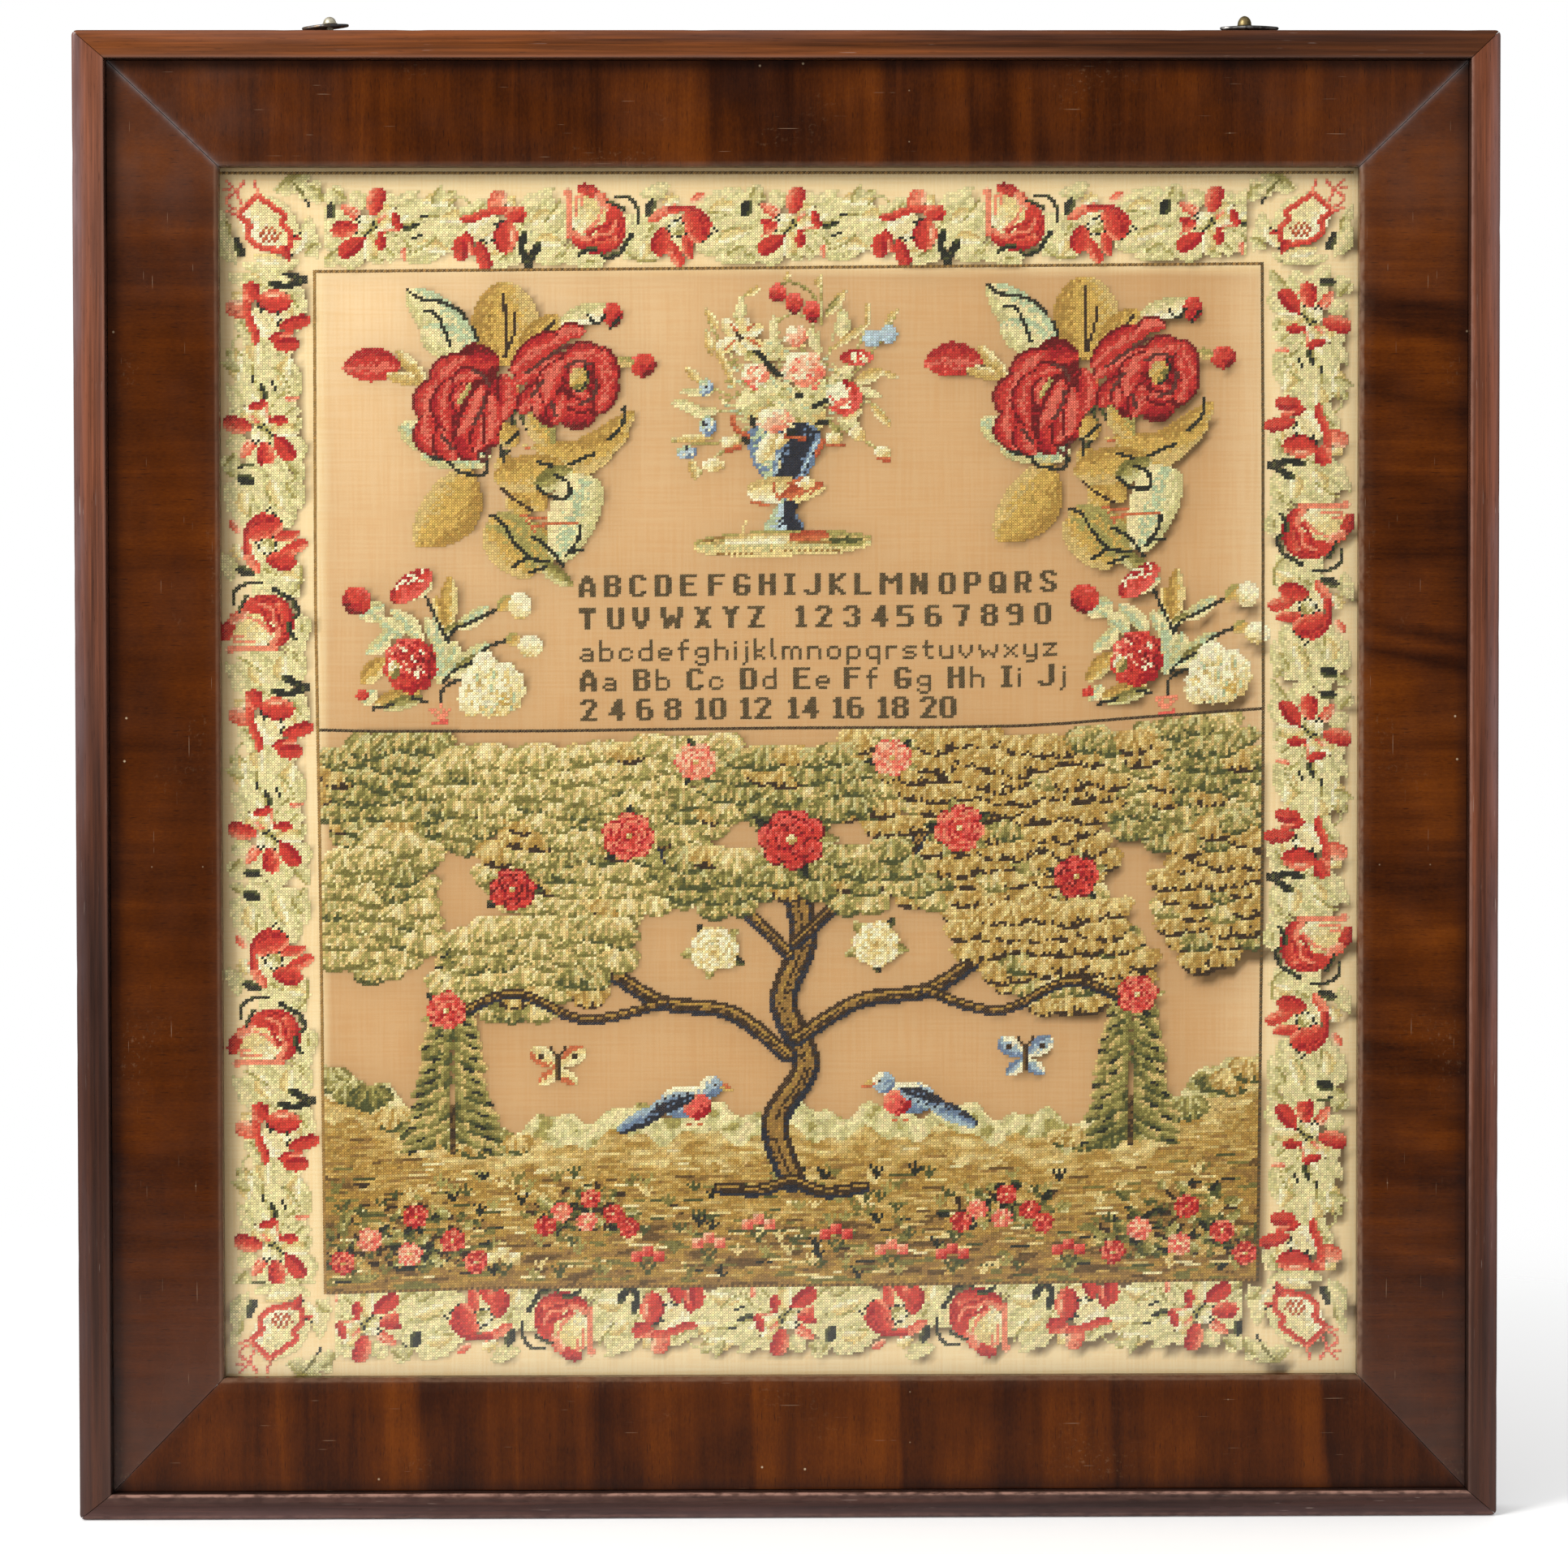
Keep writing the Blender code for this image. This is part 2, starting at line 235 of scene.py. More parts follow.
class Graph:
    """A material's nodes, with short calls that add one and join it up."""

    def __init__(self, name: str) -> None:
        """Starts a material that has only its principled shader.

        Args:
            name: the material's name.
        """
        self.material = bpy.data.materials.new(name)
        self.material.use_nodes = True
        self.tree = self.material.node_tree
        self.shader = self.tree.nodes["Principled BSDF"]
        self.output = self.tree.nodes["Material Output"]

    def plug(self, socket: NodeSocket, value: Plug) -> None:
        """Joins a socket to another node's output, or sets it to a plain value.

        Args:
            socket: the input socket.
            value: an output socket, or the value that is set.
        """
        if isinstance(value, NodeSocket):
            self.tree.links.new(value, socket)
        else:
            socket.default_value = value

    def add(self, kind: str, inputs: dict[str | int, Plug], **settings: object) -> Node:
        """Adds a node.

        Args:
            kind: the node's type, without its ShaderNode prefix.
            inputs: what goes into its sockets, by name or place.
            settings: its own settings, such as operation.

        Returns:
            The node.
        """
        node = self.tree.nodes.new(f"ShaderNode{kind}")
        for name, value in settings.items():
            setattr(node, name, value)
        for key, value in inputs.items():
            self.plug(node.inputs[key], value)
        return node

    def math(self, operation: str, first: Plug, second: Plug = 0.0) -> NodeSocket:
        """Gives the result of one sum on two numbers."""
        return self.add("Math", {0: first, 1: second}, operation=operation).outputs[0]

    def plus(self, first: Plug, second: Plug) -> NodeSocket:
        """Adds two numbers."""
        return self.math("ADD", first, second)

    def times(self, first: Plug, second: Plug) -> NodeSocket:
        """Multiplies two numbers."""
        return self.math("MULTIPLY", first, second)

    def sway(self, cloud: Plug, size: float) -> NodeSocket:
        """Gives how far a cloudy number is from its middle, 0.5, times a size."""
        return self.times(self.math("SUBTRACT", cloud, 0.5), size)

    def parts(self, vector: Plug) -> tuple[NodeSocket, ...]:
        """Gives the x, y and z of coordinates."""
        return tuple(self.add("SeparateXYZ", {"Vector": vector}).outputs)

    def fade(
        self, value: Plug, low: float, high: float, start: float = 0.0, end: float = 1.0
    ) -> NodeSocket:
        """Maps a number smoothly from the range low to high onto start to end, and stops there."""
        inputs = {"Value": value, "From Min": low, "From Max": high, "To Min": start, "To Max": end}
        return self.add("MapRange", inputs, interpolation_type="SMOOTHSTEP").outputs["Result"]

    def place(self) -> NodeSocket:
        """Gives the piece's own object coordinates, in metres."""
        return self.add("TexCoord", {}).outputs["Object"]

    def uv(self, name: str) -> NodeSocket:
        """Gives a named UV map's coordinates."""
        return self.add("UVMap", {}, uv_map=name).outputs["UV"]

    def share(self, name: str) -> NodeSocket:
        """Gives a number that the mesh holds at each vertex."""
        return self.add("Attribute", {}, attribute_name=name).outputs["Fac"]

    def held_colour(self, name: str) -> NodeSocket:
        """Gives a colour that the mesh holds at each vertex."""
        return self.add("Attribute", {}, attribute_name=name).outputs["Color"]

    def noise(
        self, vector: Plug, scale: Colour, detail: float = 2.0, rough: float = 0.5,
        warp: float = 0.0, turn: float = 0.0, shift: Colour = (0, 0, 0),
    ) -> NodeSocket:
        """Gives cloudy noise from 0 to 1.

        Args:
            vector: coordinates, turned about Z and then scaled and shifted.
            scale: how many clouds there are to the unit, by axis.
            detail: how many finer layers are added.
            rough: how strong they are.
            warp: how far the clouds are distorted.
            turn: the turn in degrees.
            shift: the shift.

        Returns:
            The noise.
        """
        turned = (0, 0, math.radians(turn))
        inputs = {"Vector": vector, "Scale": scale, "Rotation": turned, "Location": shift}
        spread = self.add("Mapping", inputs).outputs["Vector"]
        inputs = {"Vector": spread, "Scale": 1.0, "Detail": detail, "Roughness": rough}
        return self.add("TexNoise", {**inputs, "Distortion": warp}).outputs["Fac"]

    def ramp(self, value: Plug, stops: tuple[tuple[float, Colour], ...]) -> NodeSocket:
        """Maps a number onto colours.

        Args:
            value: the number.
            stops: places from 0 to 1, each with a linear colour.

        Returns:
            The colour.
        """
        node = self.add("ValToRGB", {"Fac": value})
        elements = node.color_ramp.elements
        while len(elements) < len(stops):
            elements.new(1.0)
        for element, (place, colour) in zip(elements, stops):
            element.position = place
            element.color = (*colour, 1.0)
        return node.outputs["Color"]

    def mix(self, share: Plug, first: Plug, second: Plug, blend: str = "MIX") -> NodeSocket:
        """Mixes two colours by a share.

        Args:
            share: the second colour's share.
            first: the first colour.
            second: the second colour.
            blend: how they are mixed.

        Returns:
            The mixed colour.
        """
        node = self.add("Mix", {0: share}, data_type="RGBA", blend_type=blend)
        for socket, value in ((node.inputs[6], first), (node.inputs[7], second)):
            self.plug(socket, (*value, 1.0) if isinstance(value, tuple) else value)
        return node.outputs[2]

    def bump(self, height: Plug, depth: float, normal: Plug = None) -> NodeSocket:
        """Gives a normal tilted by a height from 0 to 1 that stands for a depth in metres.

        Args:
            height: the height.
            depth: the depth.
            normal: the normal that is tilted, where it isn't the mesh's own.

        Returns:
            The tilted normal.
        """
        inputs = {"Height": height, "Distance": depth}
        if normal is not None:
            inputs["Normal"] = normal
        return self.add("Bump", inputs).outputs["Normal"]

    def finish(
        self, colour: Plug, rough: Plug, normal: Plug = None, **constants: float
    ) -> Material:
        """Joins the result to the shader.

        Args:
            colour: the surface's colour.
            rough: its roughness.
            normal: its normal, where it isn't the mesh's own.
            constants: plain values of the shader's other sockets, with _ for each space.

        Returns:
            The finished material.
        """
        inputs = self.shader.inputs
        self.plug(inputs["Base Color"], (*colour, 1.0) if isinstance(colour, tuple) else colour)
        self.plug(inputs["Roughness"], rough)
        if normal is not None:
            self.plug(inputs["Normal"], normal)
        for name, value in constants.items():
            self.plug(inputs[name.replace("_", " ")], value)
        return self.material


def dress(obj: Object, material: Material) -> None:
    """Gives every face of a piece one material."""
    obj.data.materials.clear()
    obj.data.materials.append(material)


def seat(obj: Object, slot: str, *nodes: str) -> None:
    """Lets a new piece ride on the frame's body and stand for the nodes it covers.

    Args:
        obj: the piece.
        slot: not used.
        nodes: the frame's nodes that it stands for, if any.
    """
    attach(obj, BODY)
    if nodes:
        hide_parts(*nodes)
    LOG.info("%s: %d vertices, %d faces", obj.name, len(obj.data.vertices), len(obj.data.polygons))


# ---------------------------------------------------------------- finishes


@dataclass(frozen=True)
class VeneerFinish:
    """Cross-grain veneer under worn polish.

    figure lists the bands across the rail, each a distance along it in millimetres with a
    tone from 0, nearly black, to 100, bright orange brown.
    """

    side: str
    length: float
    figure: str
    slant: float = 0.06
    dusk: float = 0.5
    wear_and_highlight: float = 0.5
    contrast: float = 0.75
    gloss: float = 0.22
    woods: tuple[tuple[float, Colour], ...] = (
        (0.0, (0.0095, 0.0022, 0.0009)), (0.25, (0.029, 0.0064, 0.0011)),
        (0.50, (0.064, 0.0138, 0.0012)), (0.75, (0.112, 0.0255, 0.0014)),
        (1.0, (0.178, 0.0460, 0.0030)),
    )

    def material(self) -> Material:
        """Builds bands, streaks, pores, scuffs and worn edges on the rail's own grain map, with a
        painted sheen, painted shade and painted highlights.

        Returns:
            The material.
        """
        g = Graph(f"veneer_{self.side}")
        grain = g.uv("grain")
        along, across, _ = g.parts(grain)
        cloud = g.noise(grain, (26, 9, 1), 3, 0.5)
        drift = g.sway(cloud, 0.010)
        lean = g.times(across, self.slant)
        place = g.math("DIVIDE", g.plus(g.plus(along, drift), lean), self.length)
        numbers = [int(word) for word in self.figure.split()]
        pairs = zip(numbers[::2], numbers[1::2])
        stops = tuple((at / 1000 / self.length, (tone / 100,) * 3) for at, tone in pairs)
        bands = g.ramp(place, stops)
        streaks = g.noise(grain, (420, 14, 1), 4, 0.62, 0.2)
        ribbon = g.noise(grain, (95, 12, 1), 3, 0.55, 0.4, shift=(3.1, 0, 0))
        depth = g.noise(grain, (22, 30, 1), 3, 0.6)
        mottle = g.noise(grain, (1300, 420, 1), 2, 0.6)
        tone = g.sway(streaks, 0.40 * self.contrast)
        for cloud, size in ((ribbon, 0.70 * self.contrast), (depth, 0.40), (mottle, 0.30)):
            tone = g.plus(tone, g.sway(cloud, size))
        tone = g.plus(tone, g.plus(g.times(bands, self.contrast), 0.42 * (1 - self.contrast)))
        wood = g.ramp(tone, self.woods)
        pores = g.noise(grain, (1500, 130, 1), 1, 0.5)
        wood = g.mix(g.fade(pores, 0.64, 0.74, 0, 0.55), wood, (0.006, 0.0025, 0.0015))
        # a dull bloom near the corners, where polish has gone grey, which also paints the grey
        # sheen of a reflection there
        bloom_and_sheen = g.share("bloom_and_sheen")
        clouds = g.noise(grain, (24, 30, 1), 4, 0.6, shift=(1.7, 0.4, 0))
        haze = g.times(bloom_and_sheen, g.fade(clouds, 0.25, 0.75, 0.35, 1.0))
        wood = g.mix(g.times(haze, self.dusk), wood, (0.072, 0.040, 0.030))
        wood = self._marks(g, grain, wood)
        # dirt and painted shade: darker beside the raised outer strip, where its shadow falls, and
        # on the shaded edges
        wood = g.mix(g.times(g.share("dirt_and_shade"), 0.62), wood, (0.007, 0.0045, 0.0045))
        # worn arrises painted paler, which also paints the highlights the light picks out on them
        worn = g.noise(grain, (160, 300, 1), 3, 0.6)
        edge = g.times(g.share("wear_and_highlight"), g.fade(worn, 0.30, 0.62, 0.2, self.wear_and_highlight))
        wood = g.mix(edge, wood, (0.205, 0.125, 0.080))
        joint = g.times(g.share("mitre"), g.fade(worn, 0.25, 0.6, 0.35, 0.7))
        wood = g.mix(joint, wood, (0.145, 0.130, 0.130))
        rough = g.fade(clouds, 0.3, 0.75, 0.17, 0.28)
        rough = g.plus(rough, g.times(haze, 0.16))
        ripple = g.noise(grain, (60, 16, 1), 2, 0.5)
        normal = g.bump(ripple, 0.00025)
        normal = g.bump(streaks, 0.00006, normal)
        return g.finish(wood, rough, normal, Specular_IOR_Level=self.gloss)

    @staticmethod
    def _marks(g: Graph, grain: NodeSocket, wood: NodeSocket) -> NodeSocket:
        """Adds pale specks, fine scratches and rubbed patches.

        Args:
            g: the material's graph.
            grain: coordinates along and across the rail, in metres.
            wood: the colour so far.

        Returns:
            The colour with its marks.
        """
        spots = g.add("TexVoronoi", {"Vector": grain, "Scale": 95.0})
        few = g.fade(g.parts(spots.outputs["Color"])[0], 0.90, 0.96)
        speck = g.times(few, g.fade(spots.outputs["Distance"], 0.03, 0.075, 0.8, 0.0))
        wood = g.mix(speck, wood, (0.46, 0.34, 0.21))
        scratch = g.noise(grain, (36, 1500, 1), 1, 0.4, turn=38)
        gate = g.noise(grain, (60, 60, 1), 2, 0.5)
        line = g.times(g.fade(scratch, 0.735, 0.77), g.fade(gate, 0.52, 0.62))
        wood = g.mix(g.times(line, 0.5), wood, (0.25, 0.16, 0.10))
        rubbed = g.noise(grain, (300, 420, 1), 4, 0.7)
        patch = g.noise(grain, (13, 20, 1), 2, 0.5, shift=(5, 2, 0))
        scuff = g.times(g.fade(rubbed, 0.55, 0.70), g.fade(patch, 0.58, 0.74))
        return g.mix(g.times(scuff, 0.38), wood, (0.21, 0.125, 0.065))


@dataclass(frozen=True)
class StripFinish:
    """Long-grain strip wood with dulled, greyed polish and a painted grey sheen, tinted for its
    side of the frame.

    Its colour is painted darker along the strip: the axis and the two places are where that starts
    and ends.
    """

    side: str
    tone: Colour
    grey: float = 0.5
    wear_and_highlight: float = 0.35
    axis: str = "Z"
    light_at: float = 0.0
    dark_at: float = -1.0
    depth: float = 0.0

    def material(self) -> Material:
        """Builds long streaks, a painted grey sheen, painted shade, scratches and worn arrises with
        painted highlights.

        Returns:
            The material.
        """
        g = Graph(f"strip_wood_{self.side}")
        grain = g.uv("grain")
        streaks = g.noise(grain, (12, 620, 1), 4, 0.6, 0.3)
        flow = g.noise(grain, (3.2, 150, 1), 3, 0.55, 0.8)
        long_tone = g.noise(grain, (6.5, 40, 1), 2, 0.5, shift=(2.2, 0, 0))
        tone = g.sway(streaks, 1.3)
        for cloud, size in ((flow, 1.5), (long_tone, 0.6)):
            tone = g.plus(tone, g.sway(cloud, size))
        base = np.array(linear(self.tone))
        shares = ((0.1, 0.38), (0.5, 0.98), (0.9, 1.8))
        stops = tuple((place, tuple(base * share)) for place, share in shares)
        wood = g.ramp(g.plus(tone, 0.5), stops)
        # the grey near the outer edge is dull polish and a painted sheen
        haze = g.noise(grain, (9, 60, 1), 4, 0.65, shift=(0.6, 0, 0))
        inward = g.share("inward")
        bloom_and_sheen = g.fade(inward, 0.001, 0.008, self.grey, 0.1 * self.grey)
        bloom_and_sheen = g.times(g.fade(haze, 0.30, 0.70, 0.35, 1.0), bloom_and_sheen)
        wood = g.mix(bloom_and_sheen, wood, (0.180, 0.112, 0.112))
        pores = g.noise(grain, (120, 1800, 1), 1, 0.5)
        wood = g.mix(g.fade(pores, 0.64, 0.76, 0, 0.45), wood, (0.016, 0.006, 0.004))
        scratch = g.noise(grain, (60, 1300, 1), 1, 0.4, turn=55)
        gate = g.noise(grain, (14, 40, 1), 1, 0.5)
        line = g.times(g.fade(scratch, 0.71, 0.76), g.fade(gate, 0.50, 0.60))
        wood = g.mix(g.times(line, 0.55), wood, (0.34, 0.26, 0.22))
        # dirt and painted shade on the inner wall beside the rail
        wood = g.mix(g.times(g.share("dirt_and_shade"), 0.85), wood, (0.012, 0.007, 0.006))
        # worn arrises painted paler, also as painted highlights, most on the inner arris
        worn = g.noise(grain, (120, 300, 1), 3, 0.6)
        edge = g.times(g.share("wear_and_highlight"), g.fade(worn, 0.35, 0.62, 0.2, self.wear_and_highlight))
        edge = g.times(edge, g.fade(inward, 0.003, 0.009, 0.2, 1.0))
        wood = g.mix(edge, wood, (0.30, 0.165, 0.125))
        # painted darker along the strip, from light_at to dark_at
        along = g.parts(g.place())["XYZ".index(self.axis)]
        (low, start), (high, end) = sorted(((self.light_at, 0.0), (self.dark_at, self.depth)))
        darker_along = g.fade(along, low, high, start, end)
        wood = g.mix(darker_along, wood, (0.010, 0.006, 0.005))
        rough = g.fade(haze, 0.3, 0.8, 0.24, 0.38)
        ripple = g.noise(grain, (14, 60, 1), 2, 0.5)
        normal = g.bump(streaks, 0.00007, g.bump(ripple, 0.00025))
        return g.finish(wood, rough, normal, Specular_IOR_Level=0.22)


@dataclass(frozen=True)
class CanvasFinish:
    """Even-weave canvas, browned by age, whose tone the sheet holds at each vertex."""

    pitch: float = 0.00068

    def material(self) -> Material:
        """Builds the plain weave from two crossing waves, with slubs and stains.

        Returns:
            The material.
        """
        g = Graph("canvas")
        place = g.place()
        x, _, z = g.parts(place)
        wander = g.noise(place, (60, 1, 60), 3, 0.5)
        shift = g.sway(wander, 0.0009)
        turns = 2 * math.pi / self.pitch
        warp = g.math("SINE", g.times(g.plus(x, shift), turns))
        weft = g.math("SINE", g.times(g.plus(z, shift), turns))
        over = g.times(warp, weft)
        holes = g.times(g.plus(g.math("ABSOLUTE", warp), g.math("ABSOLUTE", weft)), 0.5)
        slub_x = g.noise(place, (900, 1, 25), 2, 0.5)
        slub_z = g.noise(place, (25, 1, 900), 2, 0.5)
        slubs = g.plus(slub_x, slub_z)
        tone = g.held_colour("tone")
        linen = g.mix(g.fade(holes, 0.15, 0.75, 0.42, 0.0), tone, (0.20, 0.115, 0.055))
        linen = g.mix(g.fade(slubs, 0.8, 1.25, 0.0, 0.30), linen, (0.90, 0.68, 0.42), "MULTIPLY")
        stain = g.noise(place, (9, 1, 9), 4, 0.6)
        linen = g.mix(g.fade(stain, 0.45, 0.78, 0.0, 0.26), linen, (0.84, 0.70, 0.52), "MULTIPLY")
        spots = g.noise(place, (70, 1, 70), 3, 0.6)
        linen = g.mix(g.fade(spots, 0.66, 0.80, 0.0, 0.18), linen, (0.66, 0.46, 0.28), "MULTIPLY")
        height = g.plus(g.times(over, 0.25), holes)
        normal = g.bump(g.plus(height, g.times(slubs, 0.3)), 0.00010)
        sheen = {"Specular_IOR_Level": 0.15, "Sheen_Weight": 0.12, "Sheen_Roughness": 0.5}
        return g.finish(linen, 0.92, normal, **sheen)


@dataclass(frozen=True)
class WoolFinish:
    """Stitch yarn: its colour comes with each stitch, its twist from the leg's own map."""

    twists: float = 3.5

    def material(self) -> Material:
        """Builds the round, twisted look of one leg of yarn in painted shade: darker at its sides,
        in its twist and where it dips into the cloth.

        Returns:
            The material.
        """
        g = Graph("wool")
        across, along, _ = g.parts(g.uv("yarn"))
        turn = g.plus(g.times(along, self.twists), across)
        ply = g.math("SINE", g.times(turn, 2 * math.pi))
        side = g.math("ABSOLUTE", g.math("SUBTRACT", g.times(across, 2), 1.0))
        crown = g.math("SUBTRACT", 1.0, g.times(side, side))
        fuzz = g.noise(g.place(), (2600, 2600, 2600), 2, 0.6)
        # painted shade of a round, twisted yarn, lighter on its crown
        shade = g.plus(g.times(crown, 0.42), g.times(ply, 0.05))
        shade = g.plus(shade, g.times(fuzz, 0.16))
        # painted shade towards the ends, where the yarn dips into the cloth
        dip = g.math("ABSOLUTE", g.math("SUBTRACT", g.times(along, 2), 1.0))
        ends = g.math("POWER", dip, 3.0)
        shade = g.math("SUBTRACT", g.plus(shade, 0.72), g.times(ends, 0.42))
        wool = g.mix(1.0, g.held_colour("wool"), shade, "MULTIPLY")
        height = g.plus(crown, g.times(ply, 0.15))
        normal = g.bump(height, 0.00012)
        sheen = {"Specular_IOR_Level": 0.2, "Sheen_Weight": 0.18, "Sheen_Roughness": 0.45}
        return g.finish(wool, 0.88, normal, **sheen)


@dataclass(frozen=True)
class GlassFinish:
    """Thin clear window glass: it lets light straight through and mirrors a little."""

    tint: Colour = (0.965, 0.975, 0.962)

    def material(self) -> Material:
        """Mixes a clear film and a mirror, which grows as the fifth power of the slant.

        Returns:
            The material.
        """
        g = Graph("clear_glass")
        film = g.add("BsdfTransparent", {"Color": (*self.tint, 1.0)})
        mirror = g.add("BsdfGlossy", {"Color": (1.0, 1.0, 1.0, 1.0), "Roughness": 0.02})
        slant = g.math("POWER", g.add("LayerWeight", {}).outputs["Facing"], 5.0)
        share = g.plus(g.times(slant, 0.8), 0.03)
        mixed = g.add("MixShader", {0: share, 1: film.outputs[0], 2: mirror.outputs[0]})
        g.tree.nodes.remove(g.shader)
        g.plug(g.output.inputs["Surface"], mixed.outputs[0])
        return g.material


@dataclass(frozen=True)
class BoardFinish:
    """Bare softwood of the closing board, browned by age."""

    def material(self) -> Material:
        """Builds upright grain with rings, dust and dark blotches on object coordinates.

        Returns:
            The material.
        """
        g = Graph("bare_board")
        place = g.place()
        grain = g.noise(place, (330, 330, 9), 4, 0.6, 0.4)
        rings = g.noise(place, (34, 34, 2.2), 2, 0.5, 1.4)
        lines = g.math("SINE", g.times(rings, 60.0))
        tone = g.plus(g.times(grain, 0.7), g.times(lines, 0.13))
        dark, middle, pale = (0.15, 0.085, 0.042), (0.28, 0.17, 0.092), (0.40, 0.27, 0.155)
        wood = g.ramp(tone, ((0.15, dark), (0.45, middle), (0.8, pale)))
        blotch = g.noise(place, (7, 7, 5), 4, 0.65)
        wood = g.mix(g.fade(blotch, 0.5, 0.8, 0.0, 0.5), wood, (0.12, 0.075, 0.04))
        return g.finish(wood, 0.86, g.bump(tone, 0.0002), Specular_IOR_Level=0.25)


@dataclass(frozen=True)
class BrassFinish:
    """Old hanging metal: brass worn bright on top, brown and grey in its hollows."""

    name: str
    bright: Colour
    dull: Colour
    metal: float = 0.85

    def material(self) -> Material:
        """Builds patina clouds, pits and worn bright places on object coordinates.

        Returns:
            The material.
        """
        g = Graph(self.name)
        place = g.place()
        clouds = g.noise(place, (330, 330, 330), 4, 0.65)
        pits = g.noise(place, (1500, 1500, 1500), 2, 0.6)
        colour = g.mix(g.fade(clouds, 0.40, 0.62), self.bright, self.dull)
        colour = g.mix(g.fade(pits, 0.58, 0.72, 0.0, 0.6), colour, (0.035, 0.026, 0.018))
        colour = g.mix(g.fade(pits, 0.20, 0.34, 0.35, 0.0), colour, (0.30, 0.36, 0.27))
        rough = g.fade(clouds, 0.35, 0.7, 0.30, 0.58)
        normal = g.bump(g.plus(clouds, pits), 0.00008)
        return g.finish(colour, rough, normal, Metallic=self.metal)


# ---------------------------------------------------------------- wooden frame


@dataclass(frozen=True)
class Direction:
    """How one side of the frame lies: outwards and along, each as x and z, and its neighbours.

    A side is read from left to right or from the top down, so that is where along runs.
    """

    outward: Pair
    along: Pair
    start: str
    end: str


DIRECTIONS = {
    "top": Direction((0, 1), (1, 0), "left", "right"),
    "bottom": Direction((0, -1), (1, 0), "left", "right"),
    "left": Direction((-1, 0), (0, -1), "top", "bottom"),
    "right": Direction((1, 0), (0, -1), "top", "bottom"),
}


@dataclass
class FrameSizes:
    """The frame's own sizes, read from its packed bars.

    strip and sight are each side's distances from the outer edge to the strip's inner wall
    and to the edge of the opening.
    """

    left: float = field(init=False)
    right: float = field(init=False)
    top: float = field(init=False)
    bottom: float = field(init=False)
    depth: float = field(init=False)
    strip: dict[str, float] = field(init=False)
    sight: dict[str, float] = field(init=False)

    def __post_init__(self) -> None:
        """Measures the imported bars' boxes."""
        strips, rails = (
            {side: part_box(f"{kind}_{side}") for side in SIDES} for kind in ("edge_strip", "rail")
        )
        self.left, self.depth = strips["left"][0].x, -strips["left"][0].y
        self.right, self.top = strips["right"][1].x, strips["top"][1].z
        self.bottom = strips["bottom"][0].z
        self.strip, self.sight = (
            {
                "left": bars["left"][1].x - self.left,
                "right": self.right - bars["right"][0].x,
                "top": self.top - bars["top"][0].z,
                "bottom": bars["bottom"][1].z - self.bottom,
            }
            for bars in (strips, rails)
        )

    def corner(self, side: str) -> Pair:
        """Gives x and z of the outer corner where a side is read from.

        Args:
            side: the side.

        Returns:
            The corner's x and z.
        """
        x = self.right if side == "right" else self.left
        z = self.bottom if side == "bottom" else self.top
        return x, z

    def length(self, side: str) -> float:
        """Gives the length of a side's outer edge."""
        return self.right - self.left if side in ("top", "bottom") else self.top - self.bottom


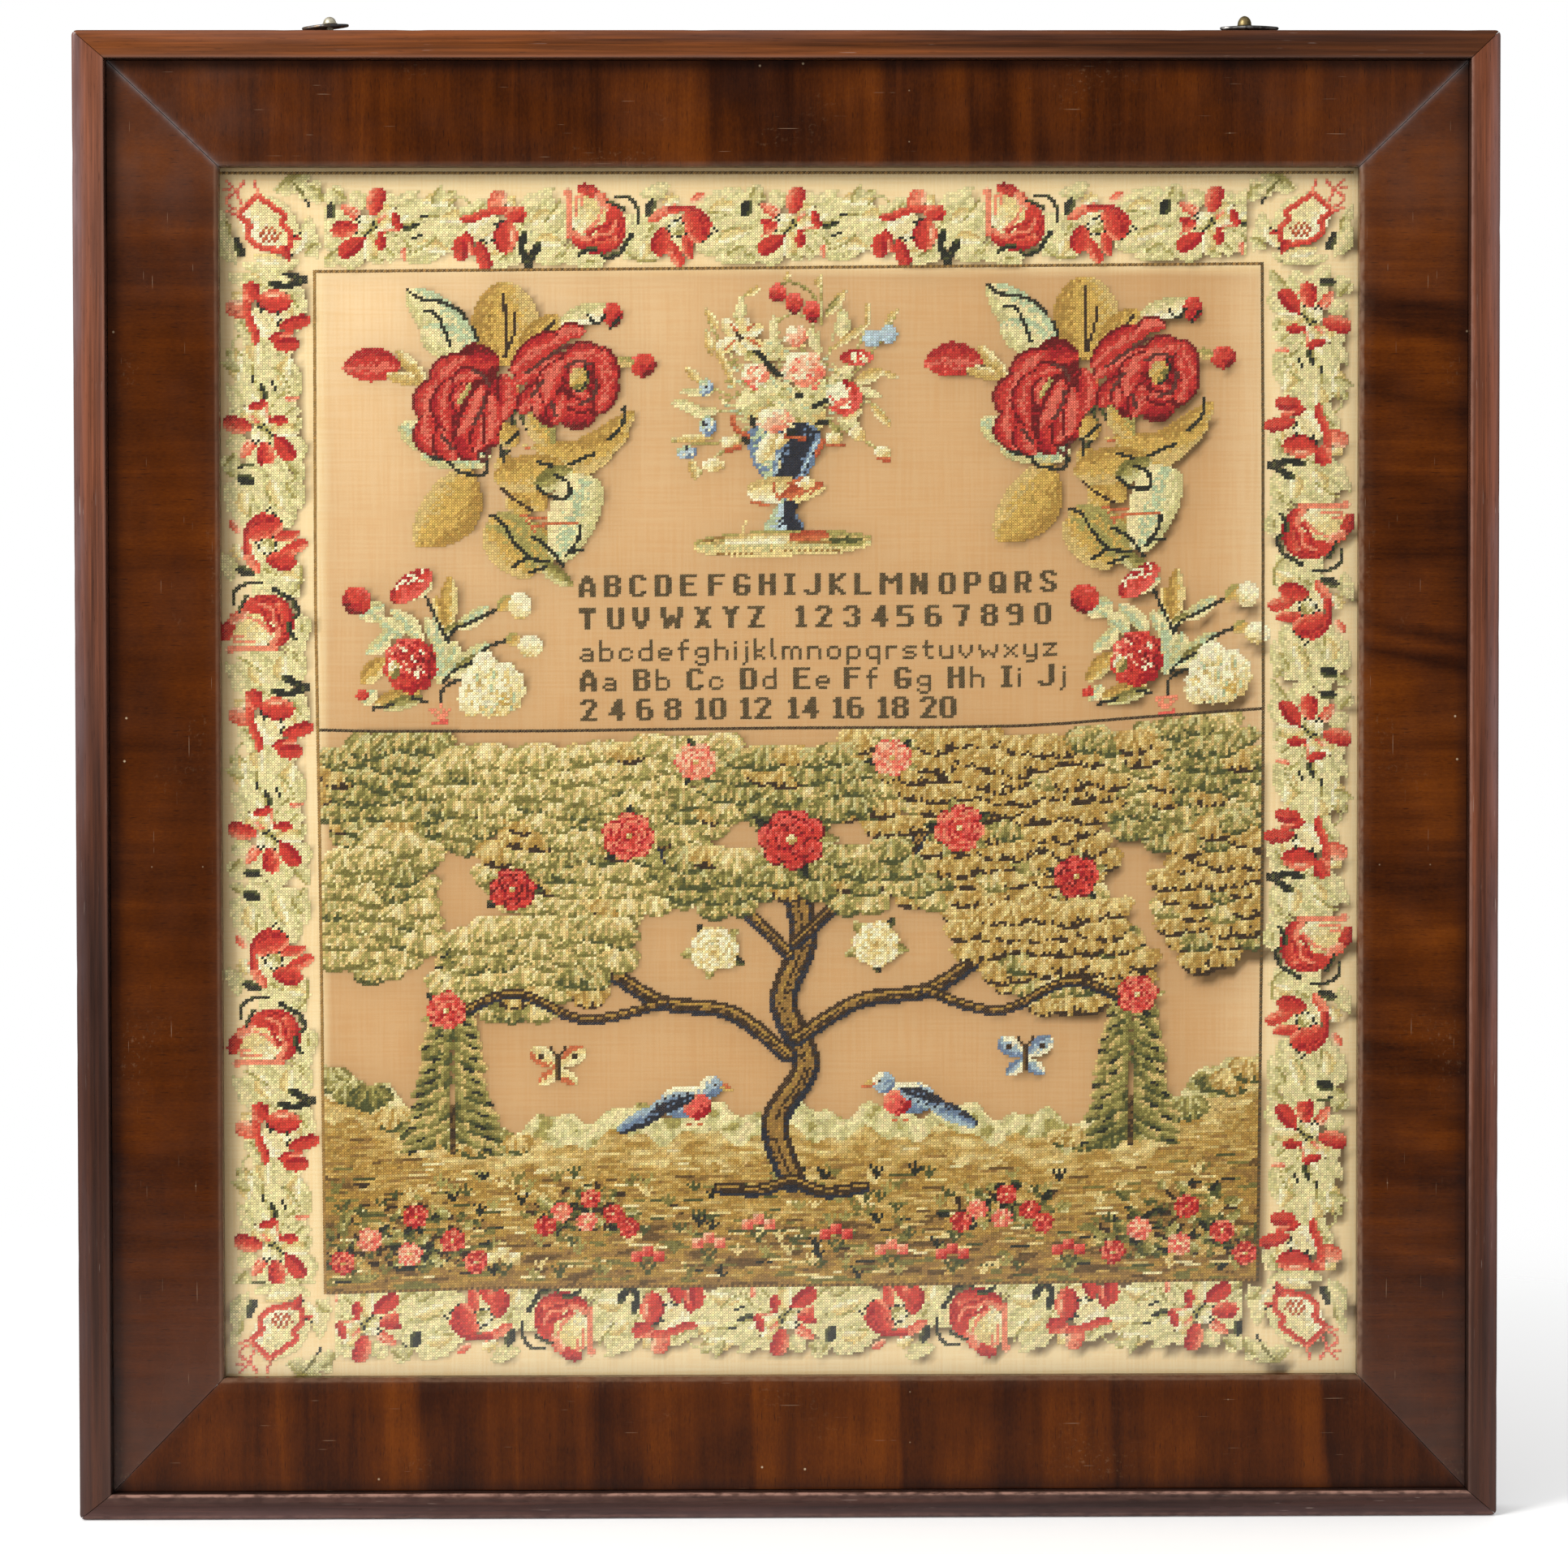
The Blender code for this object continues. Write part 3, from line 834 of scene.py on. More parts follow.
@dataclass
class MitredBar:
    """One bar of the frame: a closed profile carried along one side, between two mitres.

    The profile is a loop of corners (inward, out, radius), inward from the frame's outer
    edge and out from the wall. gap is kept to the neighbouring bar in each mitre.
    """

    name: str
    side: str
    sizes: FrameSizes
    corners: tuple[tuple[float, float, float], ...]
    seed: int
    dirt_and_shade_from: float = 0.0
    gap: float = 0.0003
    corner_radius: float = 0.0025
    arc_steps: int = 6
    longest_face: float = 0.0065
    wear_and_highlight_reach: float = 0.0005
    nick_depth: float = 0.0005
    hollow: float = 0.00016
    step: float = 0.0024
    step_out: float = 0.012
    front_out: float = 0.015
    spread: float = 0.004
    turned_share: float = 0.034
    mitre_reach: float = 0.0011
    bloom_and_sheen_reach: float = 0.150

    def outline(self) -> tuple[Array, Array]:
        """Works out the profile: straight sides cut to short faces, corners as true arcs.

        Returns:
            The (inward, out) points once round, and how far each belongs to an arris.
        """
        points, arris = [], []
        count = len(self.corners)
        for index, (inward, out, radius) in enumerate(self.corners):
            corner = np.array((inward, out))
            if radius == 0:
                points.append(corner[None])
                arris.append([0.0])
                continue
            before = np.array(self.corners[index - 1][:2]) - corner
            after = np.array(self.corners[(index + 1) % count][:2]) - corner
            before, after = before / np.linalg.norm(before), after / np.linalg.norm(after)
            half = math.acos(float(before @ after)) / 2
            between = before + after
            centre = corner + between / np.linalg.norm(between) * radius / math.sin(half)
            touch = radius / math.tan(half)
            start, end = (corner + way * touch - centre for way in (before, after))
            sweep = math.pi - 2 * half
            part = np.linspace(0, 1, self.arc_steps + 1)[:, None]
            arc = start * np.sin((1 - part) * sweep) + end * np.sin(part * sweep)
            points.append(centre + arc / math.sin(sweep))
            arris.append([1.0] * (self.arc_steps + 1))
        loop, shares = np.concatenate(points), np.concatenate(arris)
        loop, shares = np.vstack([loop, loop[:1]]), np.append(shares, shares[0])
        reach = np.append(0, np.cumsum(np.linalg.norm(np.diff(loop, axis=0), axis=1)))
        extra = [
            np.linspace(a, b, math.ceil((b - a) / self.longest_face) + 1)[1:-1]
            for a, b in zip(reach[:-1], reach[1:])
        ]
        beside = (reach[shares > 0][:, None] + np.array((-0.0010, -0.0005, 0.0005, 0.0010))).ravel()
        apart = np.abs(beside[:, None] - reach[shares > 0]).min(axis=1)
        beside = beside[(apart > 0.00049) & (beside > 0) & (beside < reach[-1])]
        places = np.unique(np.concatenate([reach[:-1], beside.round(7), *extra]))
        full = np.stack([np.interp(places, reach, loop[:, axis]) for axis in (0, 1)], axis=1)
        gaps = np.abs(places[:, None] - reach[shares > 0])
        return full, np.exp(-gaps.min(axis=1) / self.wear_and_highlight_reach)

    def end_rings(self, inward: Array, neighbour: str) -> Array:
        """Works out how the profile runs from the mitre to where the bar is plain.

        A point nearer the outer edge than the corner's radius turns round the corner on an
        arc, and every other point runs straight in from the mitre line.

        Args:
            inward: each profile point's distance from the outer edge.
            neighbour: the side that the bar meets there.

        Returns:
            For each ring from the mitre on, each point's distance along the bar and inward.
        """
        side, sizes, radius = self.side, self.sizes, self.corner_radius
        widths = (0, sizes.strip[side], sizes.sight[side])
        mitre = np.interp(inward, widths, (0, sizes.strip[neighbour], sizes.sight[neighbour]))
        plain = max(sizes.sight.values()) + radius
        shares = (0, 0.006, 0.013, 0.022, self.turned_share, 0.06, 0.11, 0.2, 0.34, 0.5, 0.66, 0.83)
        share = np.array(shares)[:, None]
        turn = np.clip(1 - share / self.turned_share, 0, 1) * math.pi / 4
        arm = np.maximum(radius - inward, 0)
        straight = radius + (plain - radius) * share
        bent = np.where(share <= self.turned_share, radius - arm * np.sin(turn), straight)
        along = np.where(inward < radius, bent, mitre + (plain - mitre) * share)
        depth = np.where(inward < radius, radius - arm * np.cos(turn), inward)
        return np.stack([along, depth], axis=-1)

    def build(self) -> Object:
        """Carries the profile along the side, wears its arrises and closes its ends.

        The bar is the profile at each station along it. Its front sinks by a slow wave of a
        tenth of a millimetre, and its arrises lose a little more wherever a quick wave peaks.
        Each mitre has a step behind its front half, so that no light comes through its gap.

        Returns:
            The bar, with a grain map in metres and its shares of wear with painted highlight, dirt
            with painted shade and bloom with painted sheen.
        """
        loop, arris = self.outline()
        inward, out = loop.T
        way = DIRECTIONS[self.side]
        length = self.sizes.length(self.side)
        first = self.end_rings(inward, way.start)
        last = self.end_rings(inward, way.end)[::-1].copy()
        behind = (out < self.step_out) * np.clip(inward / self.spread, 0, 1) * self.step
        back = self.gap * math.sqrt(0.5) + (behind if self.side in ("top", "bottom") else -behind)
        first[..., 0] += back
        last[..., 0] = length - last[..., 0] - back
        plain = max(self.sizes.sight.values()) + self.corner_radius
        middle = np.linspace(plain, length - plain, 72)
        middle = np.stack(np.broadcast_arrays(middle[:, None], inward), axis=-1)
        rings = np.concatenate([first, middle, last])
        along, depth = rings[..., 0], rings[..., 1]
        front = np.clip((out - self.front_out) / self.spread, 0, 1)
        slow = 0.5 + 0.5 * waves(along + 3 * inward, 0.21, self.seed)
        quick = np.clip(waves(along, 0.034, self.seed + 1) - 0.55, 0, 1)
        sink = front * (self.hollow * slow + self.nick_depth * arris * quick)
        depth = depth + arris * front * self.nick_depth * quick * (inward < self.spread)
        outward, run = np.array(way.outward), np.array(way.along)
        flat = self.sizes.corner(self.side) + along[..., None] * run - depth[..., None] * outward
        height = np.broadcast_to(out - sink, along.shape)
        points = np.stack([flat[..., 0], -height, flat[..., 1]], axis=-1)
        rows, columns = along.shape
        faces = grid_faces(rows, columns, closed=True)
        turned = run[0] * outward[1] - run[1] * outward[0] > 0
        if not turned:
            faces = faces[:, ::-1]
        bar = self._closed(points.reshape(-1, 3), faces, rows, columns, turned)
        self._map(bar, along, loop, faces, turned)
        distance = np.minimum(along - along[0], along[-1] - along)
        lower = {"top": 0.0, "bottom": 1.0}.get(self.side, along > length / 2)
        add_shares(bar, "mitre", np.exp(-distance / self.mitre_reach) * front * (1 - 0.9 * lower))
        # arrises: worn, and painted with highlights
        add_shares(bar, "wear_and_highlight", np.broadcast_to(arris, along.shape) * front)
        add_shares(bar, "inward", np.broadcast_to(inward, along.shape))
        # dirt and painted shade in the recess beside the step
        add_shares(bar, "dirt_and_shade", self._dirt_and_shade(along, inward, out))
        # bloom and painted sheen, strongest near the mitres
        ends = np.minimum(along, length - along)
        add_shares(bar, "bloom_and_sheen", np.clip(1 - ends / self.bloom_and_sheen_reach, 0, 1) ** 1.3)
        return bar

    def _closed(self, points: Array, faces: Array, rows: int, columns: int, turned: bool) -> Object:
        """Makes the mesh and closes both ends with one flat face each.

        Args:
            points: every vertex.
            faces: the four-cornered faces round the bar.
            rows: how many rings there are.
            columns: how many points a ring has.
            turned: whether the faces keep the grid's own winding.

        Returns:
            The bar.
        """
        start = np.arange(columns)
        end = (rows - 1) * columns + start
        caps = [start[::-1], end] if turned else [start, end[::-1]]
        corners = faces.tolist() + [cap.tolist() for cap in caps]
        return show(self.name, list_mesh(self.name, points.tolist(), corners, 2, 50))

    def _map(self, bar: Object, along: Array, loop: Array, faces: Array, turned: bool) -> None:
        """Lays the grain map: distance along the bar against distance round the profile.

        Args:
            bar: the bar.
            along: each vertex's distance along the side.
            loop: the profile's points.
            faces: the faces round the bar.
            turned: whether the faces keep the grid's own winding.
        """
        closed = np.vstack([loop, loop[:1]])
        steps = np.linalg.norm(np.diff(closed, axis=0), axis=1)
        around = np.append(0, np.cumsum(steps))
        columns = len(loop)
        column = faces % columns
        last = (column.max(axis=1) == columns - 1) & (column.min(axis=1) == 0)
        reach = around[column]
        reach = np.where(last[:, None] & (column == 0), around[-1], reach)
        body = np.stack([along.ravel()[faces], reach], axis=-1).reshape(-1, 2)
        cap = loop if turned else loop[::-1]
        caps = np.concatenate([cap[::-1], cap])
        add_uv(bar, "grain", np.concatenate([body, caps + (0.0, 0.5)]))

    def _dirt_and_shade(self, along: Array, inward: Array, out: Array) -> Array:
        """Gives how dark each vertex is with gathered dirt.

        Args:
            along: each vertex's distance along the side.
            inward: each profile point's distance from the outer edge.
            out: each profile point's distance from the wall.

        Returns:
            A share for each vertex.
        """
        reach = inward - self.dirt_and_shade_from
        near = np.exp(-np.clip(reach, 0, 1) / 0.0030) * np.where(reach > -1e-6, 1.0, 0.0)
        uneven = 0.75 + 0.25 * waves(along, 0.12, self.seed + 2)
        return np.clip(near * uneven * np.where(out > 0.004, 1, 0.4), 0, 1)


@dataclass
class WoodenFrame:
    """Four raised strips round four wide veneered rails, each with its own timber."""

    sizes: FrameSizes
    rail_out_at_strip: float = 0.0220
    rail_out_at_sight: float = 0.0205
    sight_arris: float = 0.0018
    rebate_width: float = 0.0060
    rebate_out: float = 0.0133
    strip_arrises: Pair = (0.0009, 0.0016)
    gap: float = 0.0003

    def strip(self, side: str, seed: int) -> Object:
        """Builds one raised strip: a rectangle with a sharp inner and a soft outer arris.

        Args:
            side: the side that it lies on.
            seed: picks how it varies.

        Returns:
            The strip.
        """
        inner, outer = self.strip_arrises
        width, depth = self.sizes.strip[side], self.sizes.depth
        corners = ((0, 0, 0), (width, 0, 0), (width, depth, inner), (0, depth, outer))
        bar = MitredBar(f"strip_{side}", side, self.sizes, corners, seed, dirt_and_shade_from=width - 0.0002)
        return bar.build()

    def rail(self, side: str, seed: int) -> Object:
        """Builds one wide rail: its front slopes back to a rounded edge, over a rebate.

        Args:
            side: the side that it lies on.
            seed: picks how it varies.

        Returns:
            The rail.
        """
        start, sight = self.sizes.strip[side] + self.gap, self.sizes.sight[side]
        corners = (
            (start, 0, 0),
            (sight - self.rebate_width, 0, 0),
            (sight - self.rebate_width, self.rebate_out, 0),
            (sight, self.rebate_out, 0),
            (sight, self.rail_out_at_sight, self.sight_arris),
            (start, self.rail_out_at_strip, 0),
        )
        bar = MitredBar(f"veneered_rail_{side}", side, self.sizes, corners, seed, dirt_and_shade_from=start)
        return bar.build()

    def build(self) -> None:
        """Builds and dresses the eight bars."""
        for index, side in enumerate(SIDES):
            strip = self.strip(side, 11 + 7 * index)
            dress(strip, STRIP_FINISHES[side].material())
            seat(strip, "strip_wood", f"edge_strip_{side}")
            rail = self.rail(side, 71 + 7 * index)
            dress(rail, VENEER_FINISHES[side].material())
            seat(rail, "veneer", f"rail_{side}")


# wear paints worn arrises and their highlights, strongest at the bottom; grey paints a dull bloom
# and its sheen
STRIP_FINISHES = {
    "top": StripFinish(
        "top", (90, 46, 15), grey=0.15, wear_and_highlight=0.20, axis="X", light_at=0.05, dark_at=0.24, depth=0.50
    ),
    "bottom": StripFinish("bottom", (48, 26, 20), grey=0.25, wear_and_highlight=0.85),
    "left": StripFinish(
        "left", (92, 51, 32), grey=0.85, wear_and_highlight=0.20, light_at=-0.16, dark_at=-0.46, depth=0.66
    ),
    "right": StripFinish(
        "right", (89, 47, 27), grey=0.58, wear_and_highlight=0.35, light_at=-0.46, dark_at=-0.62, depth=0.66
    ),
}

# Bands read off each rail of the real frame: millimetres along it, and tone
# wear also paints highlights on the arrises, strongest on the right and bottom; dusk scales the
# bloom and its painted sheen
VENEER_FINISHES = {
    "top": VeneerFinish(
        "top",
        0.700,
        "0 42 68 46 84 34 112 52 122 34 144 60 150 44 205 40 221 26 272 42 301 66 313 62 316 24 "
        "348 18 366 30 395 56 403 24 428 42 439 60 443 24 459 22 470 54 477 26 488 52 512 30 "
        "560 46 572 30 610 62 640 46 700 42",
        slant=0.03, dusk=0.30, wear_and_highlight=0.12,
    ),
    "bottom": VeneerFinish(
        "bottom",
        0.700,
        "0 36 66 44 78 30 93 58 108 22 138 42 147 70 160 74 165 24 182 22 196 46 236 38 243 58 "
        "256 22 268 24 276 60 325 32 327 72 346 52 399 64 401 26 430 52 450 26 470 26 474 60 "
        "503 52 505 24 527 48 585 42 609 78 612 18 700 40",
        slant=-0.05, dusk=0.10, wear_and_highlight=0.40, contrast=0.68, gloss=0.10,
    ),
    "left": VeneerFinish(
        "left",
        0.732,
        "0 50 66 70 80 50 88 38 100 68 108 40 126 30 129 60 135 44 190 42 226 46 252 72 262 68 "
        "264 34 272 52 330 42 430 36 432 62 436 38 470 48 545 50 560 22 576 36 590 38 596 22 "
        "606 38 732 38",
        slant=0.03, dusk=0.60, wear_and_highlight=0.30, contrast=0.45,
    ),
    "right": VeneerFinish(
        "right",
        0.732,
        "0 52 70 68 104 66 112 20 122 22 130 60 146 62 158 34 170 62 196 50 199 30 266 52 271 "
        "24 278 60 286 22 292 60 350 66 404 26 414 66 440 54 454 28 462 58 478 50 482 22 498 50 "
        "510 30 520 54 544 28 550 44 582 52 584 34 732 38",
        slant=-0.22, dusk=0.60, wear_and_highlight=0.60,
    ),
}


# ---------------------------------------------------------------- hanging plates and studs


@dataclass
class Hanger:
    """A lozenge plate pinned to the top edge by a round-headed stud, tilted as one.

    tilt is in degrees and stud_shift runs along the plate from its middle.
    """

    side: str
    x: float
    length: float
    lift: float
    tilt: float
    stud_shift: float
    flange_radius: float
    dome_radius: float
    dome_height: float
    plate_finish: BrassFinish
    stud_finish: BrassFinish
    plate_width: float = 0.0110
    plate_thickness: float = 0.0015
    roundness: float = 1.35
    out: float = 0.0225
    shank_radius: float = 0.0016
    hole_radius: float = 0.0020
    flange_height: float = 0.0006
    gap: float = 0.0003

    def placed(self, points: Array, top: float) -> Array:
        """Tilts points about the plate's middle and puts them on the top edge.

        Args:
            points: x, y and z from the middle of the plate's underside.
            top: z of the frame's top edge.

        Returns:
            The points in place.
        """
        angle = math.radians(self.tilt)
        x, y, z = np.moveaxis(points, -1, 0)
        cos, sin = math.cos(angle), math.sin(angle)
        turned = np.stack([x * cos - z * sin, y, x * sin + z * cos], axis=-1)
        return turned + (self.x, -self.out, top + self.lift)

    def plate(self, top: float) -> Object:
        """Builds the plate: a round-edged section carried between its outline and its hole.

        The outline is a superellipse, |x/a|^p + |y/b|^p = 1. The section is a flat oval whose
        two ends are half circles, read once round, so the plate closes on itself like a ring.

        Args:
            top: z of the frame's top edge.

        Returns:
            The plate.
        """
        angle = np.linspace(0, 2 * math.pi, 96, endpoint=False)
        power = 2 / self.roundness
        circle = np.stack([np.cos(angle), np.sin(angle)], axis=-1)
        rim = np.sign(circle) * np.abs(circle) ** power * (self.length / 2, self.plate_width / 2)
        hole = circle * self.hole_radius + (self.stud_shift, 0)
        half = self.plate_thickness / 2
        width = np.linalg.norm(rim - hole, axis=-1)[:, None]
        softness = np.minimum(half, width / 6)
        bend = np.linspace(-math.pi / 2, math.pi / 2, 7)
        rounding = (1 - np.cos(bend)) * softness / width
        reach = np.concatenate([1 - rounding, rounding[:, ::-1]], axis=1)
        lift = np.concatenate([np.sin(bend), np.sin(bend[::-1])]) * half + half
        points = hole[:, None, :] + (rim - hole)[:, None, :] * reach[..., None]
        lift = np.broadcast_to(lift, reach.shape)
        solid = np.concatenate([points, lift[..., None]], axis=-1)
        rows, columns = solid.shape[:2]
        faces = grid_faces(rows + 1, columns, closed=True) % (rows * columns)
        return new_mesh(f"hanging_plate_{self.side}", self.placed(solid, top).reshape(-1, 3), faces)

    def stud(self, top: float) -> Object:
        """Builds the stud: a profile turned about its axis, closed at both poles.

        The head is a half oval with a slight dent, over a thin round-edged flange, on a shank
        that stops just above the frame's top edge.

        Args:
            top: z of the frame's top edge.

        Returns:
            The stud.
        """
        angle = math.radians(self.tilt)
        drop = self.lift + self.stud_shift * math.sin(angle)
        foot = drop / math.cos(angle) - self.gap - self.shank_radius * math.tan(angle)
        seat_height = self.plate_thickness + self.gap
        bend = np.linspace(0.12, math.pi / 2, 12)
        rise = self.dome_height * np.cos(bend)
        head = (self.dome_radius * np.sin(bend), self.flange_height + rise)
        edge = np.linspace(math.pi / 2, -math.pi / 2, 7)
        half = self.flange_height / 2
        flange = (self.flange_radius - half + half * np.cos(edge), half + half * np.sin(edge))
        end = -seat_height - foot
        shank = (np.array((1, 1, 0.5)) * self.shank_radius, np.array((0.0, end, end)))
        radius, height = np.concatenate([head, flange, shank], axis=1)[..., None]
        turn = np.linspace(0, 2 * math.pi, 48, endpoint=False)
        dent = 1 + 0.035 * np.sin(turn + 1) * np.clip(height / self.dome_height, 0, 1)
        across, back = radius * dent * np.cos(turn), radius * dent * np.sin(turn)
        ring = np.stack(np.broadcast_arrays(across, back, height), axis=-1)
        poles = np.array([(0, 0, height[0, 0] + 0.00002), (0, 0, end)])
        points = np.concatenate([ring.reshape(-1, 3), poles]) + (self.stud_shift, 0, seat_height)
        rows, columns = ring.shape[:2]
        quads = grid_faces(rows, columns, closed=True)[:, ::-1]
        near = np.arange(columns)
        following = (near + 1) % columns
        last, pole = (rows - 1) * columns, np.full(columns, rows * columns)
        top_fan = np.stack([near, following, pole], axis=-1)
        low_fan = np.stack([last + following, last + near, pole + 1], axis=-1)
        faces = quads.tolist() + top_fan.tolist() + low_fan.tolist()
        name = f"round_stud_{self.side}"
        return show(name, list_mesh(name, self.placed(points, top).tolist(), faces, 0, 55))

    def build(self, top: float) -> None:
        """Builds and dresses the plate and its stud.

        Args:
            top: z of the frame's top edge.
        """
        plate, stud = self.plate(top), self.stud(top)
        dress(plate, self.plate_finish.material())
        dress(stud, self.stud_finish.material())
        seat(plate, "old_brass", f"hanger_plate_{self.side}")
        seat(stud, "old_brass", f"hanger_stud_{self.side}")


HANGERS = (
    Hanger(
        "left", x=-0.2265, length=0.0231, lift=0.0016, tilt=4.0, stud_shift=0.0022,
        flange_radius=0.0038, dome_radius=0.0032, dome_height=0.0032,
        plate_finish=BrassFinish("blued_plate", (0.26, 0.18, 0.11), (0.10, 0.115, 0.14)),
        # the stud's pale colour paints the dome's highlight into it
        stud_finish=BrassFinish("pale_stud_painted_highlight", (0.78, 0.72, 0.56), (0.42, 0.38, 0.28), metal=0.6),
    ),
    Hanger(
        "right", x=0.2273, length=0.0290, lift=0.0010, tilt=0.0, stud_shift=-0.0024,
        flange_radius=0.0036, dome_radius=0.0034, dome_height=0.0044,
        plate_finish=BrassFinish("grey_plate", (0.34, 0.33, 0.31), (0.085, 0.080, 0.080)),
        stud_finish=BrassFinish("olive_stud", (0.44, 0.33, 0.14), (0.15, 0.115, 0.055), metal=0.75),
    ),
)


# ---------------------------------------------------------------- threads and chart


class Thread(Enum):
    """The yarns, as the sRGB colours they have faded to."""

    IVORY = (242, 229, 194)
    CREAM = (233, 213, 162)
    STRAW = (226, 200, 138)
    SAND = (208, 176, 112)
    OCHRE = (194, 158, 90)
    GOLD = (204, 164, 86)
    HONEY = (174, 134, 66)
    TAN = (150, 112, 60)
    UMBER = (106, 78, 44)
    BARK = (64, 48, 36)
    PALE_SAGE = (226, 211, 158)
    ICE = (182, 192, 154)
    SAGE = (203, 190, 134)
    OLIVE = (164, 150, 86)
    MOSS = (124, 114, 60)
    FOREST = (80, 82, 48)
    NIGHT_GREEN = (42, 44, 38)
    NAVY = (46, 48, 58)
    SLATE = (108, 126, 152)
    MIST = (160, 176, 186)
    SKY = (180, 196, 204)
    CLARET = (98, 52, 46)
    WINE = (108, 24, 28)
    CRIMSON = (164, 30, 38)
    CHERRY = (194, 54, 48)
    RED = (201, 60, 50)
    CORAL = (217, 90, 68)
    ROSE = (224, 92, 80)
    PINK = (217, 103, 86)
    SALMON = (234, 134, 104)
    BLUSH = (242, 184, 150)
    RUST = (172, 76, 48)
    BRICK = (198, 104, 66)
    LETTER = (84, 70, 48)

    @property
    def number(self) -> int:
        """Gives the number that stands for the thread on a chart."""
        return list(Thread).index(self) + 1


Shades = tuple[Thread, ...]
# Threads that often work together, from dark to light
GROUPS = {
    "REDS": "WINE CRIMSON RED RED ROSE",
    "LIGHT_REDS": "CRIMSON RED ROSE SALMON",
    "ROSES": "CRIMSON CHERRY PINK CHERRY",
    "DEEP_ROSE": "WINE CRIMSON CHERRY",
    "PINK_ROSE": "CHERRY PINK PINK CHERRY",
    "PINKS": "ROSE SALMON BLUSH",
    "PETALS": "CRIMSON RED RED CORAL SALMON",
    "PALE_PETALS": "CORAL SALMON SALMON BLUSH",
    "CREAMS": "SAND STRAW CREAM IVORY",
    "PALE_LEAF": "PALE_SAGE CREAM PALE_SAGE SAGE",
    "OCHRE_LEAF": "HONEY OCHRE OCHRE SAND",
    "OLIVE_LEAF": "MOSS OLIVE OLIVE SAGE",
    "DARK_LEAF": "NIGHT_GREEN NIGHT_GREEN FOREST",
    "BLUES": "NAVY SLATE MIST",
}


def yarns(names: str) -> Shades:
    """Gives the threads that a text names, one by one or by their group."""
    return tuple(Thread[name] for word in names.split() for name in GROUPS.get(word, word).split())


